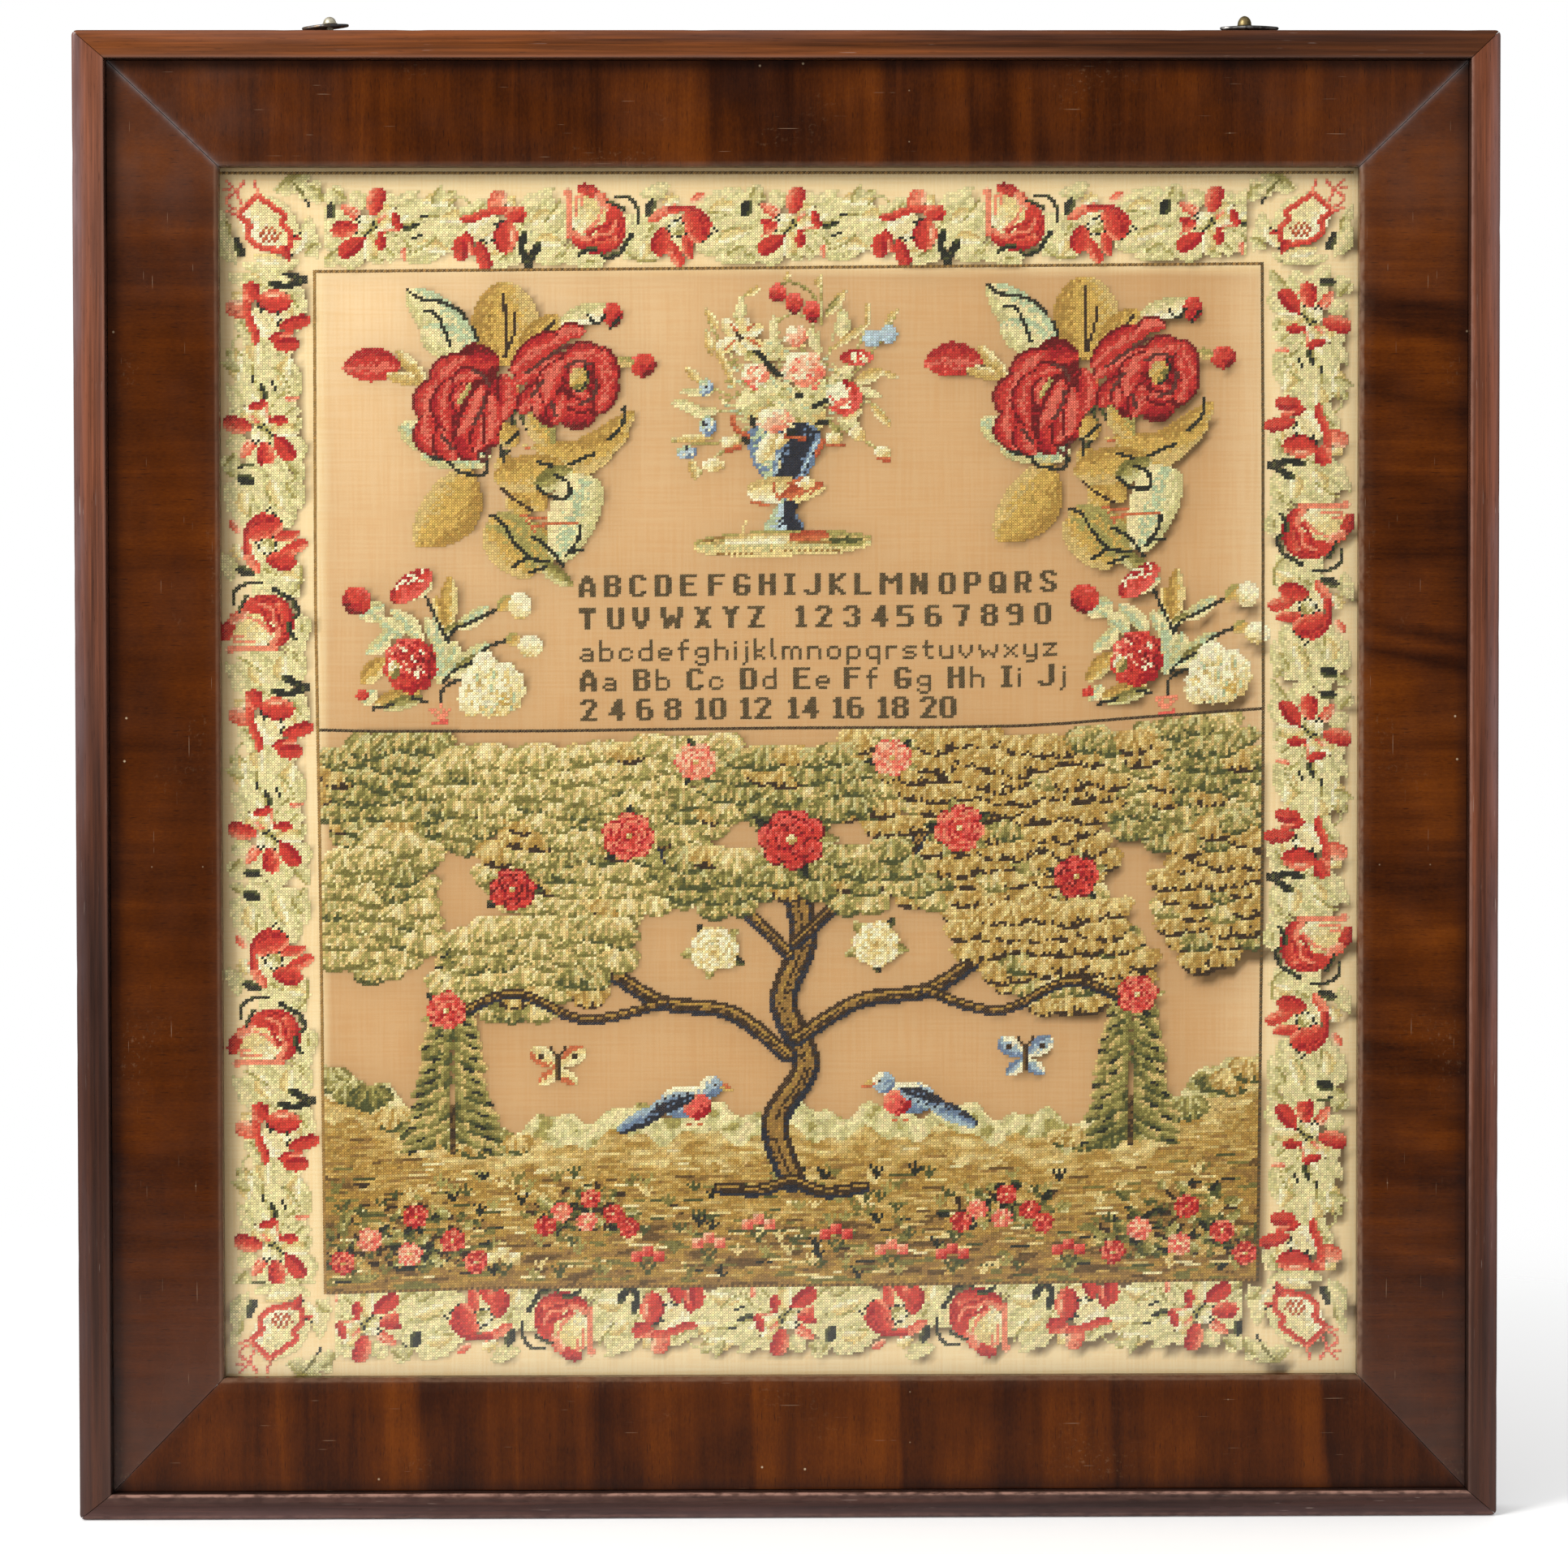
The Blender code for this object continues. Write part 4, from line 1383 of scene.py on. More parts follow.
@dataclass
class Chart:
    """A stitch chart: one cell a stitch, 0 for bare cloth, else a thread's number.

    Places on it are counted in stitches, right and down from its top left corner.
    """

    columns: int
    rows: int
    seed: int = 5
    cells: Array = field(init=False)
    grain: Array = field(init=False)

    def __post_init__(self) -> None:
        """Lays out the empty cells and the fixed unevenness with which shades are mixed."""
        self.cells = np.zeros((self.rows, self.columns), np.int16)
        self.grain = np.random.default_rng(self.seed).uniform(-0.5, 0.5, self.cells.shape)

    def window(self, low: Pair, high: Pair) -> tuple[tuple[slice, slice], Array, Array]:
        """Gives the cells of a rectangle, with each one's middle.

        Args:
            low: its left and upper limits.
            high: its right and lower limits.

        Returns:
            The slices, and the cells' places across and down.
        """
        left, top = (max(0, math.floor(v)) for v in low)
        right, bottom = (max(0, math.ceil(v)) for v in high)
        right, bottom = max(left, min(self.columns, right)), max(top, min(self.rows, bottom))
        across, down = np.meshgrid(np.arange(left, right) + 0.5, np.arange(top, bottom) + 0.5)
        return (slice(top, bottom), slice(left, right)), across, down

    def fill(
        self, part: tuple[slice, slice], inside: Array, shades: Shades, level: Array,
        mix: float = 0.28,
    ) -> None:
        """Stitches the cells inside a shape.

        Args:
            part: the slices that the arrays cover.
            inside: which cells are stitched.
            shades: threads from the darkest level to the lightest.
            level: from 0 to 1 for each cell, which picks its shade.
            mix: how far neighbouring shades are mixed.
        """
        uneven = level + self.grain[part] * mix
        numbers = np.array([thread.number for thread in shades], np.int16)
        choice = np.clip((uneven * len(shades)).astype(int), 0, len(shades) - 1)
        self.cells[part][inside] = numbers[choice][inside]

    def blade(
        self, base: Pair, tip: Pair, width: float, shades: Shades, *,
        widest: float = 0.5, blunt: float = 0.75, bend: float = 0.0, side: float = 1.0,
        rise: float = 0.0, vein: Thread | None = None, ribs: float = 0.0, rim: Thread | None = None,
    ) -> None:
        """Stitches a leaf or a petal between two points.

        At a share t of its length its half width is width/2 * sin(pi * t**k)**blunt, with k
        such that it is widest at the share asked for. Its middle line bows by bend * length.

        Args:
            base: where it starts.
            tip: where it ends.
            width: its greatest width.
            shades: threads from the dark side to the light one.
            widest: the share of the length at which it is widest.
            blunt: 1 for pointed ends, towards 0 for blunt ones.
            bend: how far its middle bows, as a share of the length.
            side: how much the shade changes from one side to the other.
            rise: how much it changes from base to tip.
            vein: thread of its middle line.
            ribs: stitches between side veins, or 0 for none.
            rim: thread of its darker edge.
        """
        start, way = np.array(base), np.array(tip) - np.array(base)
        length = float(np.hypot(*way))
        reach = width + abs(bend) * length + 1
        low = np.minimum(base, tip) - reach
        high = np.maximum(base, tip) + reach
        part, across, down = self.window(low, high)
        if across.size == 0 or length == 0:
            return
        run = ((across - start[0]) * way[0] + (down - start[1]) * way[1]) / length
        off = ((down - start[1]) * way[0] - (across - start[0]) * way[1]) / length
        share = np.clip(run / length, 0, 1)
        power = math.log(0.5) / math.log(widest)
        half = np.maximum(width / 2 * np.sin(math.pi * share**power) ** blunt, 1e-3)
        off = off - bend * length * np.sin(math.pi * share)
        inside = (np.abs(off) <= half) & (run >= 0) & (run <= length)
        level = 0.5 + 0.5 * side * np.clip(off / half, -1, 1) + rise * (share - 0.5)
        self.fill(part, inside, shades, level)
        if rim is not None:
            self.fill(part, inside & (off < 0.95 - half), (rim,), level)
        if vein is not None:
            line = np.abs(off) < 0.55
            if ribs:
                line |= (run + np.abs(off) * 0.9) % ribs < 0.9
            keep = inside & line & (share > 0.08) & (share < 0.88) & (np.abs(off) < half * 0.8)
            self.fill(part, keep, (vein,), level)

    def disc(
        self, middle: Pair, radii: Pair, shades: Shades, *,
        light: Pair = (-0.6, -0.6), frill: int = 0, depth: float = 0.12, core: float = 0.0,
    ) -> None:
        """Stitches a rounded form whose shade follows the light across it.

        Args:
            middle: its centre.
            radii: its radii across and down.
            shades: threads from dark to light.
            light: the way to the light, right and down.
            frill: how many teeth its edge has, or 0 for a plain oval.
            depth: the teeth's depth as a share of the radius.
            core: how much it darkens towards its middle.
        """
        reach = np.array(radii) * (1 + depth) + 1
        part, across, down = self.window(np.array(middle) - reach, np.array(middle) + reach)
        x, y = (across - middle[0]) / radii[0], (down - middle[1]) / radii[1]
        radius = np.hypot(x, y)
        edge = 1 + (depth * np.sin(frill * np.arctan2(y, x)) if frill else 0)
        level = 0.5 + 0.5 * (x * light[0] + y * light[1]) + core * (radius - 0.6)
        self.fill(part, radius <= edge, shades, level)

    def stroke(self, points: list[Pair], width: float, shades: Shades) -> None:
        """Stitches a smooth line through points, lit from its left.

        The line is a Catmull-Rom curve: between two points it is the cubic whose slope at
        each one is half the way between that point's neighbours.

        Args:
            points: at least two places that it passes.
            width: its width.
            shades: threads from its lower to its upper side.
        """
        knots = np.array([points[0], *points, points[-1]], float)
        share = np.linspace(0, 1, 24, endpoint=False)[:, None]
        runs = []
        for a, b, c, d in zip(knots, knots[1:], knots[2:], knots[3:]):
            steps = (2 * b, c - a, 2 * a - 5 * b + 4 * c - d, 3 * b - a - 3 * c + d)
            runs.append(sum(step * share**power for power, step in enumerate(steps)) / 2)
        line = np.concatenate([*runs, knots[-1:]])
        half = max(width / 2, 0.5)
        part, across, down = self.window(line.min(axis=0) - half, line.max(axis=0) + half)
        gaps = np.hypot(across[..., None] - line[:, 0], down[..., None] - line[:, 1])
        near = gaps.argmin(axis=-1)
        distance = np.take_along_axis(gaps, near[..., None], axis=-1)[..., 0]
        level = 0.5 - 0.5 * (down - line[near, 1]) / half
        self.fill(part, distance <= half, shades, level)

    def dots(self, places: list[Pair], thread: Thread, size: int = 1) -> None:
        """Stitches small squares, each with its upper left stitch at a place.

        Args:
            places: where they lie.
            thread: their thread.
            size: how many stitches wide and high they are.
        """
        for across, down in places:
            row, column = int(down), int(across)
            self.cells[max(row, 0) : row + size, max(column, 0) : column + size] = thread.number

    def stamp(
        self, tile: "Chart", across: int, down: int, turns: int = 0, mirrored: bool = False
    ) -> None:
        """Copies another chart's stitches onto this one.

        Args:
            tile: the chart that is copied.
            across: the column of its left edge here.
            down: the row of its upper edge here.
            turns: quarter turns against the clock.
            mirrored: whether it is flipped from left to right first.
        """
        cells = tile.cells[:, ::-1] if mirrored else tile.cells
        cells = np.rot90(cells, turns)
        top, left = max(0, -down), max(0, -across)
        cells = cells[top : max(top, self.rows - down), left : max(left, self.columns - across)]
        under = self.cells[down + top :, across + left :][: cells.shape[0], : cells.shape[1]]
        under[cells > 0] = cells[cells > 0]

    def mottle(self, inside: Array, shades: Shades, seed: int, clump: Pair = (3.0, 1.6)) -> None:
        """Stitches an area in soft clumps of its shades.

        The clumps are random numbers averaged over a box of the clump's size, twice.

        Args:
            inside: which of the chart's cells are stitched.
            shades: threads from dark to light.
            seed: picks the clumps.
            clump: their size across and down.
        """
        field_ = np.random.default_rng(seed).normal(size=self.cells.shape)
        for axis, size in ((1, clump[0]), (0, clump[1])):
            width, count = max(1, round(size)), field_.shape[axis]
            for _ in range(2):
                wrapped = np.concatenate([field_, field_.take(range(width), axis=axis)], axis=axis)
                total = np.cumsum(wrapped, axis=axis)
                ahead = total.take(range(width, width + count), axis=axis)
                field_ = ahead - total.take(range(count), axis=axis)
        level = 0.5 + field_ / field_.std() * 0.22
        self.fill((slice(None), slice(None)), inside, shades, level, 0.05)


# ---------------------------------------------------------------- motifs


@dataclass
class Needle:
    """Works rows of text on a chart, with every place turned to one way and shifted.

    A row names a kind of shape and its threads, then settings with their values. After the
    colon come its shapes, parted by semicolons, in numbers that the kind's method tells.
    """

    chart: Chart
    shift: Pair = (0.0, 0.0)
    way: float = 1.0

    def places(self, numbers: Array) -> Array:
        """Gives the places, as rows of x and y, that run through a list of numbers."""
        return numbers.reshape(-1, 2) * (self.way, 1) + self.shift

    def work(self, rows: str) -> None:
        """Works every row of a text; a row goes on over lines that start with a number.

        Args:
            rows: the text.
        """
        for row in re.split(r"\n(?=[a-z])", rows.strip()):
            head, shapes = row.split(":")
            kind, _, names = head.partition(" ")
            names, _, words = names.partition(",")
            pairs = words.split()
            settings = {name: self.setting(value) for name, value in zip(pairs[::2], pairs[1::2])}
            for shape in shapes.split(";"):
                getattr(self, kind)(yarns(names), np.array(shape.split(), float), **settings)

    @staticmethod
    def setting(word: str) -> Thread | Pair | float:
        """Reads a setting: a thread's name, a number, or two that a slash parts.

        Args:
            word: the setting's value as it is written.

        Returns:
            What the word says.
        """
        if word in Thread.__members__:
            return Thread[word]
        numbers = tuple(float(part) for part in word.split("/"))
        return numbers if len(numbers) > 1 else numbers[0]

    def leaf(self, shades: Shades, shape: Array, **settings: object) -> None:
        """Works a leaf or a petal: x and y of its base and its tip, then its width."""
        self.chart.blade(*self.places(shape[:4]), shape[4], shades, **settings)

    def oval(self, shades: Shades, shape: Array, **settings: object) -> None:
        """Works a rounded form: x and y of its middle, then its two radii."""
        self.chart.disc(self.places(shape[:2])[0], shape[2:], shades, **settings)

    def line(self, shades: Shades, shape: Array, width: float) -> None:
        """Works a smooth line through its x and y places."""
        self.chart.stroke(self.places(shape), width, shades)

    def dot(self, shades: Shades, shape: Array) -> None:
        """Works single stitches, each at its x and y."""
        self.chart.dots(self.places(shape), shades[0])

    def fleck(self, shades: Shades, shape: Array) -> None:
        """Scatters dashes: their oval's middle and radii, their count, a seed and their run.

        Args:
            shades: the threads that they are worked in by chance.
            shape: the seven numbers and the run's two, in that order.
        """
        middle, radii, run = shape[:2], shape[2:4], shape[6:]
        count, lot = int(shape[4]), np.random.default_rng(int(shape[5]))
        for angle, reach in zip(lot.uniform(0, 2 * math.pi, count), np.sqrt(lot.random(count))):
            place = middle + self.shift + radii * reach * (math.cos(angle), math.sin(angle))
            shade = shades[lot.integers(len(shades))]
            self.chart.stroke([place, place + run], 1.0, (shade,))


# The pale leaf mass, its sage leaves and its dark accents
FOLIAGE = """
oval PALE_SAGE PALE_SAGE CREAM, frill 9 depth .08 light .1/.4: 74 22 17 11; 114 21 11 11; 150 26 9
9; 181 21 12 13; 46 25 9 10; 61 25 8 9; 100 33 9 4; 130 33 8 4
leaf PALE_LEAF, blunt .6 bend .08: 66 20 80 9 7; 68 22 92 15 9; 66 23 88 24 8; 62 26 78 33 8; 60 13
71 8 5; 84 21 95 11 7; 66 31 80 27 6;106 24 111 9 7; 108 26 123 13 10; 110 31 124 24 8; 106 15 119 7
6; 112 34 126 30 6; 104 33 97 28 6;150 10 160 6 6; 147 24 152 34 7; 148 31 157 25 7; 143 17 149 27
7; 150 20 157 15 5; 172 13 185 7 6;171 18 188 11 8; 174 25 189 17 8; 169 30 184 26 8; 176 34 190 30
6; 50 16 48 8 7; 54 15 62 9 6;38 12 44 7 7; 38 20 34 14 6; 42 34 52 33 5; 184 22 192 16 7; 128 34
137 36 5; 36 28 42 22 6
leaf CREAMS, blunt .6 bend -.1: 57 19 62 14 5; 55 21 62 20 6; 53 23 53 34 6; 72 12 84 13 5; 78 19 90
19 5; 70 28 82 31 5; 111 20 120 17 5;112 27 122 28 5; 174 16 184 14 5; 176 28 188 24 5; 152 27 150
34 4; 101 10 105 14 4; 158 13 164 11 4
leaf OLIVE SAGE SAGE PALE_SAGE, blunt .7 bend .12: 35 36 43 29 5; 76 13 79 6 4; 80 10 85 8 3; 100 34
106 30 5; 130 35 136 34 3; 152 26 156 20 4; 180 33 188 29 5;59 29 63 33 3; 53 32 59 34 3; 189 13 191
7 4; 40 7 46 12 4; 118 34 123 31 3; 107 23 110 14 3; 186 31 191 35 3
line OLIVE SAGE, width 1.1: 82 13 86 10.5 89.5 13; 178 25 183 22 189 22; 70 30 74 28 77 25; 116 19
119 15 121 12; 122 32 126 27 130 25;145 31 149 34 155 34; 72 18 78 17; 94 13 90 16 86 17; 174 16 180
17; 60 23 66 26 68 30
leaf DARK_LEAF, blunt .45: 40 18 40 12.5 3.6; 152 18 154.5 11.5 3.8; 186.5 18 188.5 12 4; 65 22 71.5
20.4 2.8
line DARK_LEAF, width 2.8: 108.5 24.5 107.5 29 109 33.5 110 36; 110 35 113.5 28.5
dot NIGHT_GREEN: 71.5 17 72.5 17 73.5 17; 69 25 70 25 71 24 72 24; 172 27 173 26 174 25 175 24 176
22 177 23
"""

# The open flower with petals all round its sage heart
STAR = """
leaf PETALS, blunt .38 widest .6 side -1: 54.5 17.5 57 6.8 6.4
leaf PALE_PETALS, blunt .45: 51 18.5 43.5 13 4.2
leaf PETALS, blunt .42 widest .6 side -1: 50 21.5 40 22.5 6.8
leaf CRIMSON RED RED, blunt .42 widest .6: 52 25 42.5 31.8 6.4; 57.5 23 57.8 30 3.6; 62 16 64.5 22.5
3.4
leaf PALE_PETALS, blunt .6: 65.4 28.5 66 34.5 2.4; 46 13.4 50 17 1.4
line PALE_PETALS, width 1.2: 58.5 23 63 22.5; 57 19 59 17
oval OLIVE PALE_SAGE IVORY: 52.6 20.6 3.6 3.6; 67 19 2.2 1.8
dot NIGHT_GREEN: 49 18 50 17 50 19 49 23 55 19 55 20 54 22 52 24 53 23 56 21
"""

# The flower whose red petals sweep round a cream heart, with a bud above
SWIRL = """
oval SAND CREAM IVORY: 95 22.5 6.5 6; 98 28 4 4
leaf PALE_PETALS, blunt .38: 97.5 16 100.5 8 6.2
line RED CORAL, width 3: 87.5 18.5 91 17.8 96 16 102 15.6
oval PETALS: 105.5 17 3.8 3.4; 89 18.3 3.0 1.8
leaf PETALS, blunt .38 side -1 bend .06: 102.5 19.5 102 31.5 8.4
leaf CRIMSON RED RED, blunt .42: 85.5 25 86 34.5 5.6; 87.5 23.5 90 28.5 3.2; 92 27.5 95.8 38 5.4
leaf PALE_PETALS, blunt .6: 89.2 27 89.6 33 2; 105 21 105 29 2.4
dot NIGHT_GREEN: 98 20 99 20 100 19 101 19 93 26 94 26 95 27 97 26 98 26 99 21
"""

# The rose seen from its side, a red cup round a striped cream middle
SIDE_ROSE = """
oval PETALS, light -.8/-.1: 137.5 22 7.4 9
leaf PETALS, blunt .5 side -1 bend .12: 124.5 24.5 143 27 8
oval CREAMS, light -.4/.5: 131 16.5 6.6 8.8
line PALE_PETALS, width 2.4: 124 8.5 124.6 15 124.2 25
line SALMON, width 1.2: 127.5 10 127 17; 129 9.5 128.6 14; 136 16 134 20 130.4 23.6; 126 24.4 131
26.6 138 25 141.5 19
line CRIMSON RED, width 1.6: 131 24.4 135 22 138.6 20.6; 133 26.8 138.6 25.4
leaf CRIMSON RED RED, blunt .4: 127.5 6.6 135.4 9.6 4.6
leaf PALE_PETALS, blunt .45: 134 8.6 138.6 15.4 4.4
line DARK_LEAF, width 1.3: 138 12.4 141 13.6 144.4 15; 141 10.7 146 10.8 148.6 14.4 149 20
line DARK_LEAF, width 1.7: 147 24.4 145.4 26.4; 144.6 28 143.4 30.4; 142.4 31.8 140.4 32.2; 136.4
32.2 137.6 33.6 139.4 33.2; 133.4 30 130.4 30.4 128 32.2
"""

# The smaller swept flower beside the rose
SMALL_SWIRL = """
oval STRAW CREAM IVORY: 160 19 6 3; 162.5 27 3 5
line CORAL SALMON SALMON, width 3.6: 154.5 18.6 157.5 16.4 162 15.2
leaf PETALS, blunt .4 side 1: 166 16 171.5 27.4 8.6
line RED CRIMSON, width 2.6: 161 15 167 15.2 171.6 17 173.8 21 172.4 25.4
leaf CRIMSON RED RED CORAL, blunt .42 side -1: 158.5 22.4 156 32.8 7
leaf RED RED CORAL SALMON, blunt .45: 160 27.5 164.4 37 4.8; 165.4 25 167.6 34 4.4
leaf PALE_PETALS, blunt .5: 167 12.4 172.6 9.6 2.8
oval OLIVE PALE_SAGE IVORY: 162.8 22 3 3.2
dot NIGHT_GREEN: 160 21 160 23 161 25 163 25 164 25 166 24 162 19 164 18 165 20 163 19
"""

# The corner: a tilted red-edged fruit with tendrils and leaves
CORNER = """
leaf PALE_LEAF, blunt .6 bend .08: 3 23 8 36 7; 10 36.6 31 35.4 6; 34 19 37 34 6; 22 9.6 31 5 6; 31
12 38.6 6 6; 2 16 6 24 4
leaf STRAW CREAM IVORY, blunt .5: 28 33 33 23 5; 14 33.6 25 35 4
leaf OLIVE SAGE PALE_SAGE, blunt .5: 33 33 38 29 4; 4 20 6 27 3; 23 10 34 4 7; 34 8 39 14 5
line MOSS, width 1.2: 28 6 32 10.4
leaf PALE_SAGE CREAM IVORY, blunt .4: 12 13 28 30 18
line RED CORAL, width 2.2: 16 11 9.5 18 13 21.5 12.5 26 18 30.4 26 30.6 27.6 25.4 24.6 21.4 25.6
18.6 21 15 16 11
leaf CRIMSON RED RED, blunt .5: 25 29.6 27 35 3.4; 27 25.6 31.6 27.4 2.2
line RUST BRICK, width .9: 16.6 26.6 19 22.6; 18.2 27.6 20.8 23; 20 28 22.6 23.6; 21.8 28.2 24 24.8
line ROSE SALMON, width 1: 16 11 15 5.6; 10.6 15 9 10 11.6 5.4; 9 17 4.6 13.4 8 9.4 4.6 6; 6 8.6 3.4
9.6; 9.4 18.4 5.4 17
leaf DARK_LEAF, blunt .5: 8 26.4 10.4 34 3.2
dot NIGHT_GREEN: 33 13 34 14 34 15 29 26 31 25 28 33
"""


@dataclass
class FlowerBorder:
    """The running border: four red flowers in pale leaves, repeated along every side.

    The repeat is charted lying along the top edge, with the frame above it, and is turned
    for the other sides. Each side's starts are where its repeats begin.
    """

    chart: Chart
    length: int = 209
    depth: int = 39
    shift: float = -10.5
    corner: int = 38
    starts: dict[str, tuple[int, ...]] = field(
        default_factory=lambda: {
            "top": (309, 160, 11), "right": (323, 171, 15),
            "bottom": (-116, 35, 185), "left": (-69, 83, 239),
        }
    )
    insets: dict[str, int] = field(
        default_factory=lambda: {"top": 0, "right": PANEL_RIGHT, "bottom": 416, "left": -5}
    )

    def tile(self) -> Chart:
        """Charts one repeat, with a margin at both ends into which its leaves reach.

        Returns:
            The chart of one repeat.
        """
        tile = Chart(self.length, self.depth, seed=17)
        Needle(tile, (self.shift, 0.0)).work(FOLIAGE + STAR + SWIRL + SIDE_ROSE + SMALL_SWIRL)
        tile.cells[:5] = 0
        return tile

    def corner_tile(self) -> Chart:
        """Charts the upper left corner.

        Returns:
            The chart of one corner.
        """
        tile = Chart(self.corner, self.corner, seed=23)
        Needle(tile, (-1.5, -1.5)).work(CORNER)
        return tile

    def stitch(self) -> None:
        """Repeats the tile along each side, sets the corners and clears the panels."""
        chart, tile = self.chart, self.tile()
        for side, turns in (("bottom", 2), ("left", 1), ("right", 3), ("top", 0)):
            for start in self.starts[side]:
                place = (start, self.insets[side])
                chart.stamp(tile, *(place[::-1] if turns % 2 else place), turns)
        corner, size = self.corner_tile(), self.corner
        right, bottom = chart.columns - size, chart.rows - size + 3
        for across, down, turns, mirrored in (
            (0, 0, 0, False), (right, 0, 0, True), (0, bottom, 2, True), (right, bottom, 2, False),
        ):
            chart.cells[down : down + size, across : across + size] = 0
            chart.stamp(corner, across, down, turns, mirrored)
        chart.cells[PANEL_TOP:PANEL_BOTTOM, PANEL_LEFT:PANEL_RIGHT] = 0


# Stems, leaves and buds
ROSE_LEAVES = """
line NIGHT_GREEN FOREST, width 1.5: 106 86 105 93 106 100 103 106 101 110; 106 87 109 95 112 100;
104 128 112 142 122 151
leaf HONEY GOLD GOLD SAND, vein BARK blunt .5: 103 74 102 43 24; 108 71 121.6 56 12
leaf HONEY GOLD GOLD SAND, blunt .6 bend -.08: 90 112 71 141 21
leaf HONEY GOLD GOLD SAND, blunt .5 bend .16: 100 112 148 92 14; 112 104 146 100 11
leaf HONEY GOLD GOLD SAND, blunt .5: 100 96 106 104 9; 100 108 116 128 13; 98 116 124 112 14; 104
122 110 130 9; 108 132 118 146 11
leaf OLIVE GOLD SAND, blunt .5: 111 92 119 104 9; 97 130 118 150 18; 95 134 112 152 14
leaf MOSS OLIVE SAGE, blunt .5: 113 119 126 113 9; 114 147 126 156 6
leaf SAGE PALE_SAGE ICE CREAM CREAM, blunt .4 widest .36: 131 115 121 147 18
leaf SAGE PALE_SAGE CREAM ICE, blunt .6: 92 70 67.6 45.4 15; 90 69 72 61 13
leaf SAGE ICE PALE_SAGE, blunt .5: 80 104 65 96 11; 92 110 72 107 8; 90 112 96 104 7
line NIGHT_GREEN, width 1.3: 67.5 45.5 72 49 80 50.4 86 53.6 88.6 57; 74 53.6 78 55 81 61 83 67; 91
60 92.6 64.6; 76 108 82 109.4 86 113.4 95 114 95.4 106;114 110 119 111.4; 120 114.6 124.6 117.6
124.6 123 118 122.6 114 119; 125 111 130 108.4 134 107; 144.4 90 144 96 139 102;97 129.6 101 132 105
139 111 145.4 118 146.6; 105 148.6 110 145.4; 112 137.6 118 142 123 149; 124 144.6 128 139 129
134;124.6 143.4 130 142.6; 101 104 101.6 110; 103 103 107 99; 111 151 117 148.6
line BARK, width 1.1: 106 55 105.6 62 102 71; 101 119.6 106 124 112 128
line BRICK, width 1.1: 108 130 117 131; 112 134 118 133 128 133
line BRICK SAND, width 1.1: 109 104 113 105; 106 80 107 85; 110 131 113 136
leaf CHERRY PINK CHERRY CRIMSON, blunt .75 widest .5 bend .05: 66 74 44.4 74.6 13
leaf OCHRE SAND CREAM, blunt .6: 72 78 64 68 5; 73 80 60 77 5; 74 81 70 73 4
leaf SAGE CREAM IVORY, blunt .5: 122 58 140 53 8
oval REDS: 140.6 55.6 3.4 4.8; 151.4 74.4 4.6 4.4
line NIGHT_GREEN, width 1.2: 132 56 135 59 138 56; 140 60.4 143 57
leaf OLIVE SAND, blunt .5: 142 72 148 74 4.4
"""

# The left rose, whose petals stand up round a slanting heart
LEFT_ROSE = """
oval WINE CRIMSON, light -.2/-.4: 88 89 14.6 19; 92 75 8 7
leaf DEEP_ROSE, blunt .5 bend -.16: 83.6 74.6 100.4 72 10; 91.6 109 86 98 8.6; 100 103 93 97 7
leaf ROSES, bend -.12 blunt .5 rim WINE: 76 84 89 70 9; 74 96 78.4 78 9.4; 77.4 107.6 73.6 92 8.6;
84 109.6 79.4 96 8
leaf ROSES, bend .1 blunt .5 rim WINE: 100.6 95 101.6 77 8; 91.4 106 92.6 92 7
leaf ROSES, bend -.16 blunt .5 rim WINE: 82 98.6 82.6 78.6 7.4; 83.6 80 94.4 77.6 6.4; 85.4 91 88 80
4.6
leaf PINK_ROSE, bend .06 blunt .5 rim WINE: 95.6 103.6 97.2 84 7; 85.4 100 94 80.6 7.4
line CLARET, width 1.4: 90.6 75.6 94.6 77.6 96.6 81.6; 95 85.6 94 90.6 91 96; 92.6 107 94.6 109.4 97
104.6; 80 100 83.4 104.4
line OLIVE SAND, width 2: 89.8 81.6 86.4 87
"""

# The right rose, which shows its green heart, with two long petals to its left
RIGHT_ROSE = """
oval WINE CRIMSON, light -.2/-.4: 130.4 80.4 11 14; 118 84 8.6 9
leaf DEEP_ROSE, blunt .5: 134 94 122 94.6 8; 119.6 96.6 114 88 7
leaf ROSES, blunt .5 rim WINE: 107 91.6 115 81 8; 119 96 122.6 84 8; 141.4 79 135.6 92 7.6; 136 67
141.6 80.6 7.6
leaf ROSES, bend -.1 blunt .5 rim WINE: 105 81 124 70.6 8; 104 77 126.6 62 8.6; 122.4 72.4 137.6
69.6 8.6
leaf PINK_ROSE, bend -.12 blunt .5 rim WINE: 120.6 63.6 131 61.4 6.6; 113 93 118.6 81 6.6; 116.6
88.6 123.4 71.6 8.4; 125 78 131.6 73 5
leaf ROSES, blunt .5 rim WINE: 133.6 89.6 124 88.6 6; 137.4 83.6 134.8 72 5.6; 132.6 86.6 125.6 84
4.6
line CLARET, width 1.4: 110 77 117 71.6 125 66.4; 124 75 128 72.6 133 74; 135 79.6 133.6 86 129
88.6; 119 88 120.4 93; 111.6 86 116 79.6
oval MOSS GOLD SAND: 128.6 79.6 3.4 4.6
dot NIGHT_GREEN: 131 75 131 76 132 77 132 78 132 79 131 81 131 82 130 83 129 84 128 84
"""

